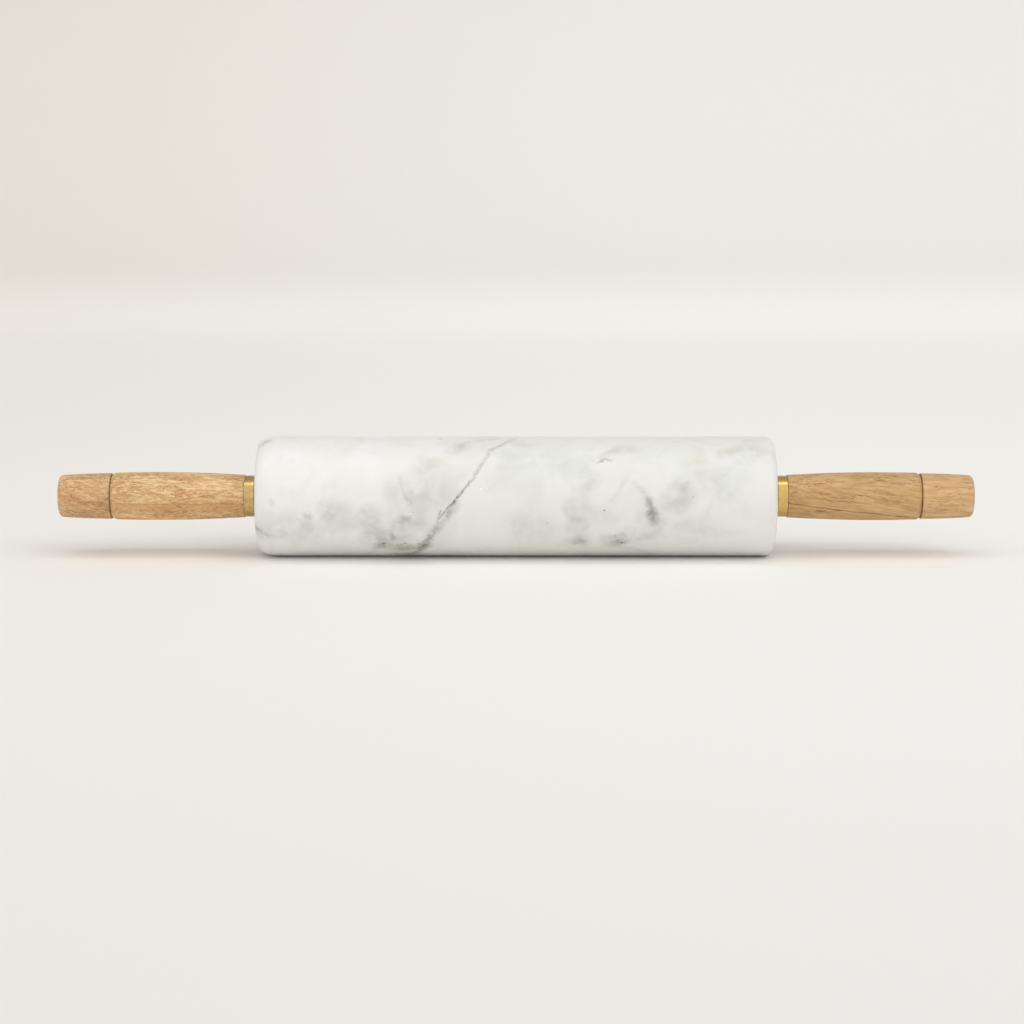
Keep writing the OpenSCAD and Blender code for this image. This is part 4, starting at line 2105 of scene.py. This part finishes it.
@dataclass(frozen=True)
class Lighting:
    """The light of the room: a sky, a broad sun from the front right and a soft strip above.

    Attributes:
        sky_colour: Colour of the sky.
        sky_span: Where the sky begins to fade and is darkest, from -1 before the pin to 1 behind it.
        sky_strength: How strong it is in front and behind.
        sun_strength: How strong the sun is.
        sun_angle: How broad it is in degrees.
        sun_colour: Its colour.
        sun_direction: Which way it shines.
        strip_size: Length and width of the strip in metres.
        strip_power: Its power in watts.
        strip_place: Where it hangs, in metres.
        strip_twist: How far in degrees it is turned about the way it shines.
    """

    sky_colour: Colour = (1.0, 0.997, 0.985, 1.0)
    sky_span: Pair = (-0.5, 0.6)
    sky_strength: Pair = (1.0, 0.47)
    sun_strength: float = 0.34
    sun_angle: float = 30.0
    sun_colour: Triple = (1.0, 0.99, 0.97)
    sun_direction: Triple = (-0.77, 0.8, -1.0)
    strip_size: Pair = (1.6, 0.2)
    strip_power: float = 1.6
    strip_place: Triple = (0.0, -0.12, 1.0)
    strip_twist: float = 9.0

    def build(self) -> None:
        """Make the sky and both lamps."""
        self._sky()
        sun = bpy.data.lights.new("key", "SUN")
        sun.energy = self.sun_strength
        sun.angle = math.radians(self.sun_angle)
        sun.color = self.sun_colour
        self._hang(sun, Vector((0.0, 0.0, 1.0)), Vector(self.sun_direction))
        strip = bpy.data.lights.new("strip", "AREA")
        strip.shape = "RECTANGLE"
        strip.size, strip.size_y = self.strip_size
        strip.energy = self.strip_power
        place = Vector(self.strip_place)
        self._hang(strip, place, -place, math.radians(self.strip_twist))

    def _sky(self) -> None:
        """Make the room: bright in front of the pin and darker behind it."""
        world = bpy.data.worlds.new("soft_room")
        bpy.context.scene.world = world
        world.use_nodes = True
        w = Wiring(world.node_tree)
        way = w.nodes.new("ShaderNodeTexCoord").outputs["Generated"]
        sky = w.nodes["Background"]
        sky.inputs["Color"].default_value = self.sky_colour
        w.feed(sky.inputs["Strength"], w.ranged(w.parts(way)[1], *self.sky_span, *self.sky_strength))

    @staticmethod
    def _hang(lamp: bpy.types.Light, place: Vector, direction: Vector, twist: float = 0.0) -> None:
        """Put a lamp in the scene.

        Args:
            lamp: The lamp.
            place: Where it hangs, in metres.
            direction: Which way it shines.
            twist: How far it is turned about that direction, in radians.
        """
        holder = bpy.data.objects.new(lamp.name, lamp)
        holder.location = place
        turn = direction.to_track_quat("-Z", "Y") @ Quaternion((0.0, 0.0, 1.0), twist)
        holder.rotation_euler = turn.to_euler()
        bpy.context.scene.collection.objects.link(holder)


@dataclass(frozen=True)
class Viewpoint:
    """The camera, in front of the pin and a little above the table.

    Attributes:
        distance: From the camera to the pin's middle in mm.
        elevation: The camera's angle above the table in degrees.
        lens: Focal length in mm.
        sensor: Width of the sensor in mm.
        nearest: Nearest distance in metres that it sees.
        aim_right: How far right of the picture's middle the pin's middle lies, in mm.
        aim_up: How far above the picture's middle it lies, in mm.
    """

    distance: float = 1300.0
    elevation: float = 9.0
    lens: float = 92.44
    sensor: float = 36.0
    nearest: float = 0.05
    aim_right: float = 1.98
    aim_up: float = 7.9

    def build(self, height: float) -> None:
        """Aim the camera.

        Args:
            height: Height of the axle in mm.
        """
        tilt = math.radians(self.elevation)
        middle = Vector((0.0, 0.0, height)) * MM
        place = middle + Vector((0.0, -math.cos(tilt), math.sin(tilt))) * self.distance * MM
        upwards = Vector((0.0, math.sin(tilt), math.cos(tilt)))
        aim = middle - Vector((self.aim_right, 0.0, 0.0)) * MM - upwards * self.aim_up * MM
        lens = bpy.data.cameras.new("camera")
        lens.lens = self.lens
        lens.sensor_width = self.sensor
        lens.clip_start = self.nearest
        camera = bpy.data.objects.new("camera", lens)
        camera.location = place
        camera.rotation_euler = (aim - place).to_track_quat("-Z", "Y").to_euler()
        bpy.context.scene.collection.objects.link(camera)
        bpy.context.scene.camera = camera


def woods(height: float) -> dict[tuple[Side, str], Timber]:
    """Describe the four turned pieces of wood, each cut from its own plank.

    Args:
        height: Height of the axle in mm.

    Returns:
        The finish of each handle and each cap.
    """
    # Painted shade along the joints: dark lines that stand in for the shadow in the gaps, fainter on the left
    # pieces.
    past_joint = NodeSize.of("right_handle").outer + JOINT_SHADE_OFFSET
    in_ferrule = NodeSize.of("right_ferrule").outer - JOINT_SHADE_OFFSET
    faint = Burns((past_joint,), linear(120, 86, 50))
    return {
        (Side.LEFT, "handle"): Timber(
            "left_handle_timber",
            height,
            pale=linear(238, 208, 160),
            honey=linear(220, 182, 128),
            brown=linear(196, 144, 88),
            fleck=linear(166, 112, 64),
            burns=faint,
            pores=Pores(share=1.0, length=4.0),
            grain_break=GrainBreak(-2.2),
            lean=-2.0,
            start=(30.0, 4.0, -6.0),
        ),
        (Side.LEFT, "cap"): Timber(
            "left_cap_timber",
            height,
            pale=linear(228, 193, 146),
            honey=linear(211, 170, 122),
            brown=linear(184, 134, 84),
            fleck=linear(150, 102, 60),
            burns=faint,
            pores=Pores(share=0.9, length=4.5),
            lean=-9.0,
            start=(210.0, -9.0, 12.0),
        ),
        (Side.RIGHT, "handle"): Timber(
            "right_handle_timber",
            height,
            pale=linear(215, 180, 127),
            honey=linear(198, 159, 106),
            brown=linear(172, 126, 76),
            fleck=linear(134, 86, 50),
            burns=Burns((past_joint, in_ferrule)),
            pores=Pores(share=0.3, length=12.0, scale=1.4),
            grain_break=GrainBreak(-2.6, slope=-0.125, start=138.0, edge=0.85, tone=0.12),
            lean=-8.0,
            start=(90.0, 15.0, 22.0),
        ),
        (Side.RIGHT, "cap"): Timber(
            "right_cap_timber",
            height,
            pale=linear(222, 187, 138),
            honey=linear(208, 168, 118),
            brown=linear(182, 136, 86),
            fleck=linear(156, 106, 62),
            burns=Burns((past_joint,)),
            pores=Pores(share=0.35, length=8.0, scale=1.5),
            lean=-4.0,
            start=(330.0, 3.0, -17.0),
        ),
    }


def main() -> None:
    """Build the pin and the studio."""
    logging.basicConfig(level=logging.INFO, format="%(name)s: %(message)s")
    height = NodeSize.of("axle_rod").height
    timber = woods(height)
    steel = TurnedMetal("turned_steel", linear(190, 190, 188), linear(150, 149, 146), STEEL_ROUGHNESS).build()
    brass = {
        Side.LEFT: TurnedMetal(
            "left_brass", linear(211, 181, 121), linear(182, 150, 95), BRASS_ROUGHNESS, tarnish=0.6
        ),
        Side.RIGHT: TurnedMetal(
            "right_brass", linear(222, 186, 116), linear(199, 161, 92), BRASS_ROUGHNESS, tarnish=0.4
        ),
    }
    Barrel().build()
    for side in Side:
        HandleEnd(side, timber[side, "handle"], timber[side, "cap"], brass[side].build(), steel).build()
    Axle(steel).build()
    Sweep().build()
    Lighting().build()
    Viewpoint().build(height)
    bpy.context.scene.view_settings.view_transform = "Standard"


if __name__ == "__main__":
    main()
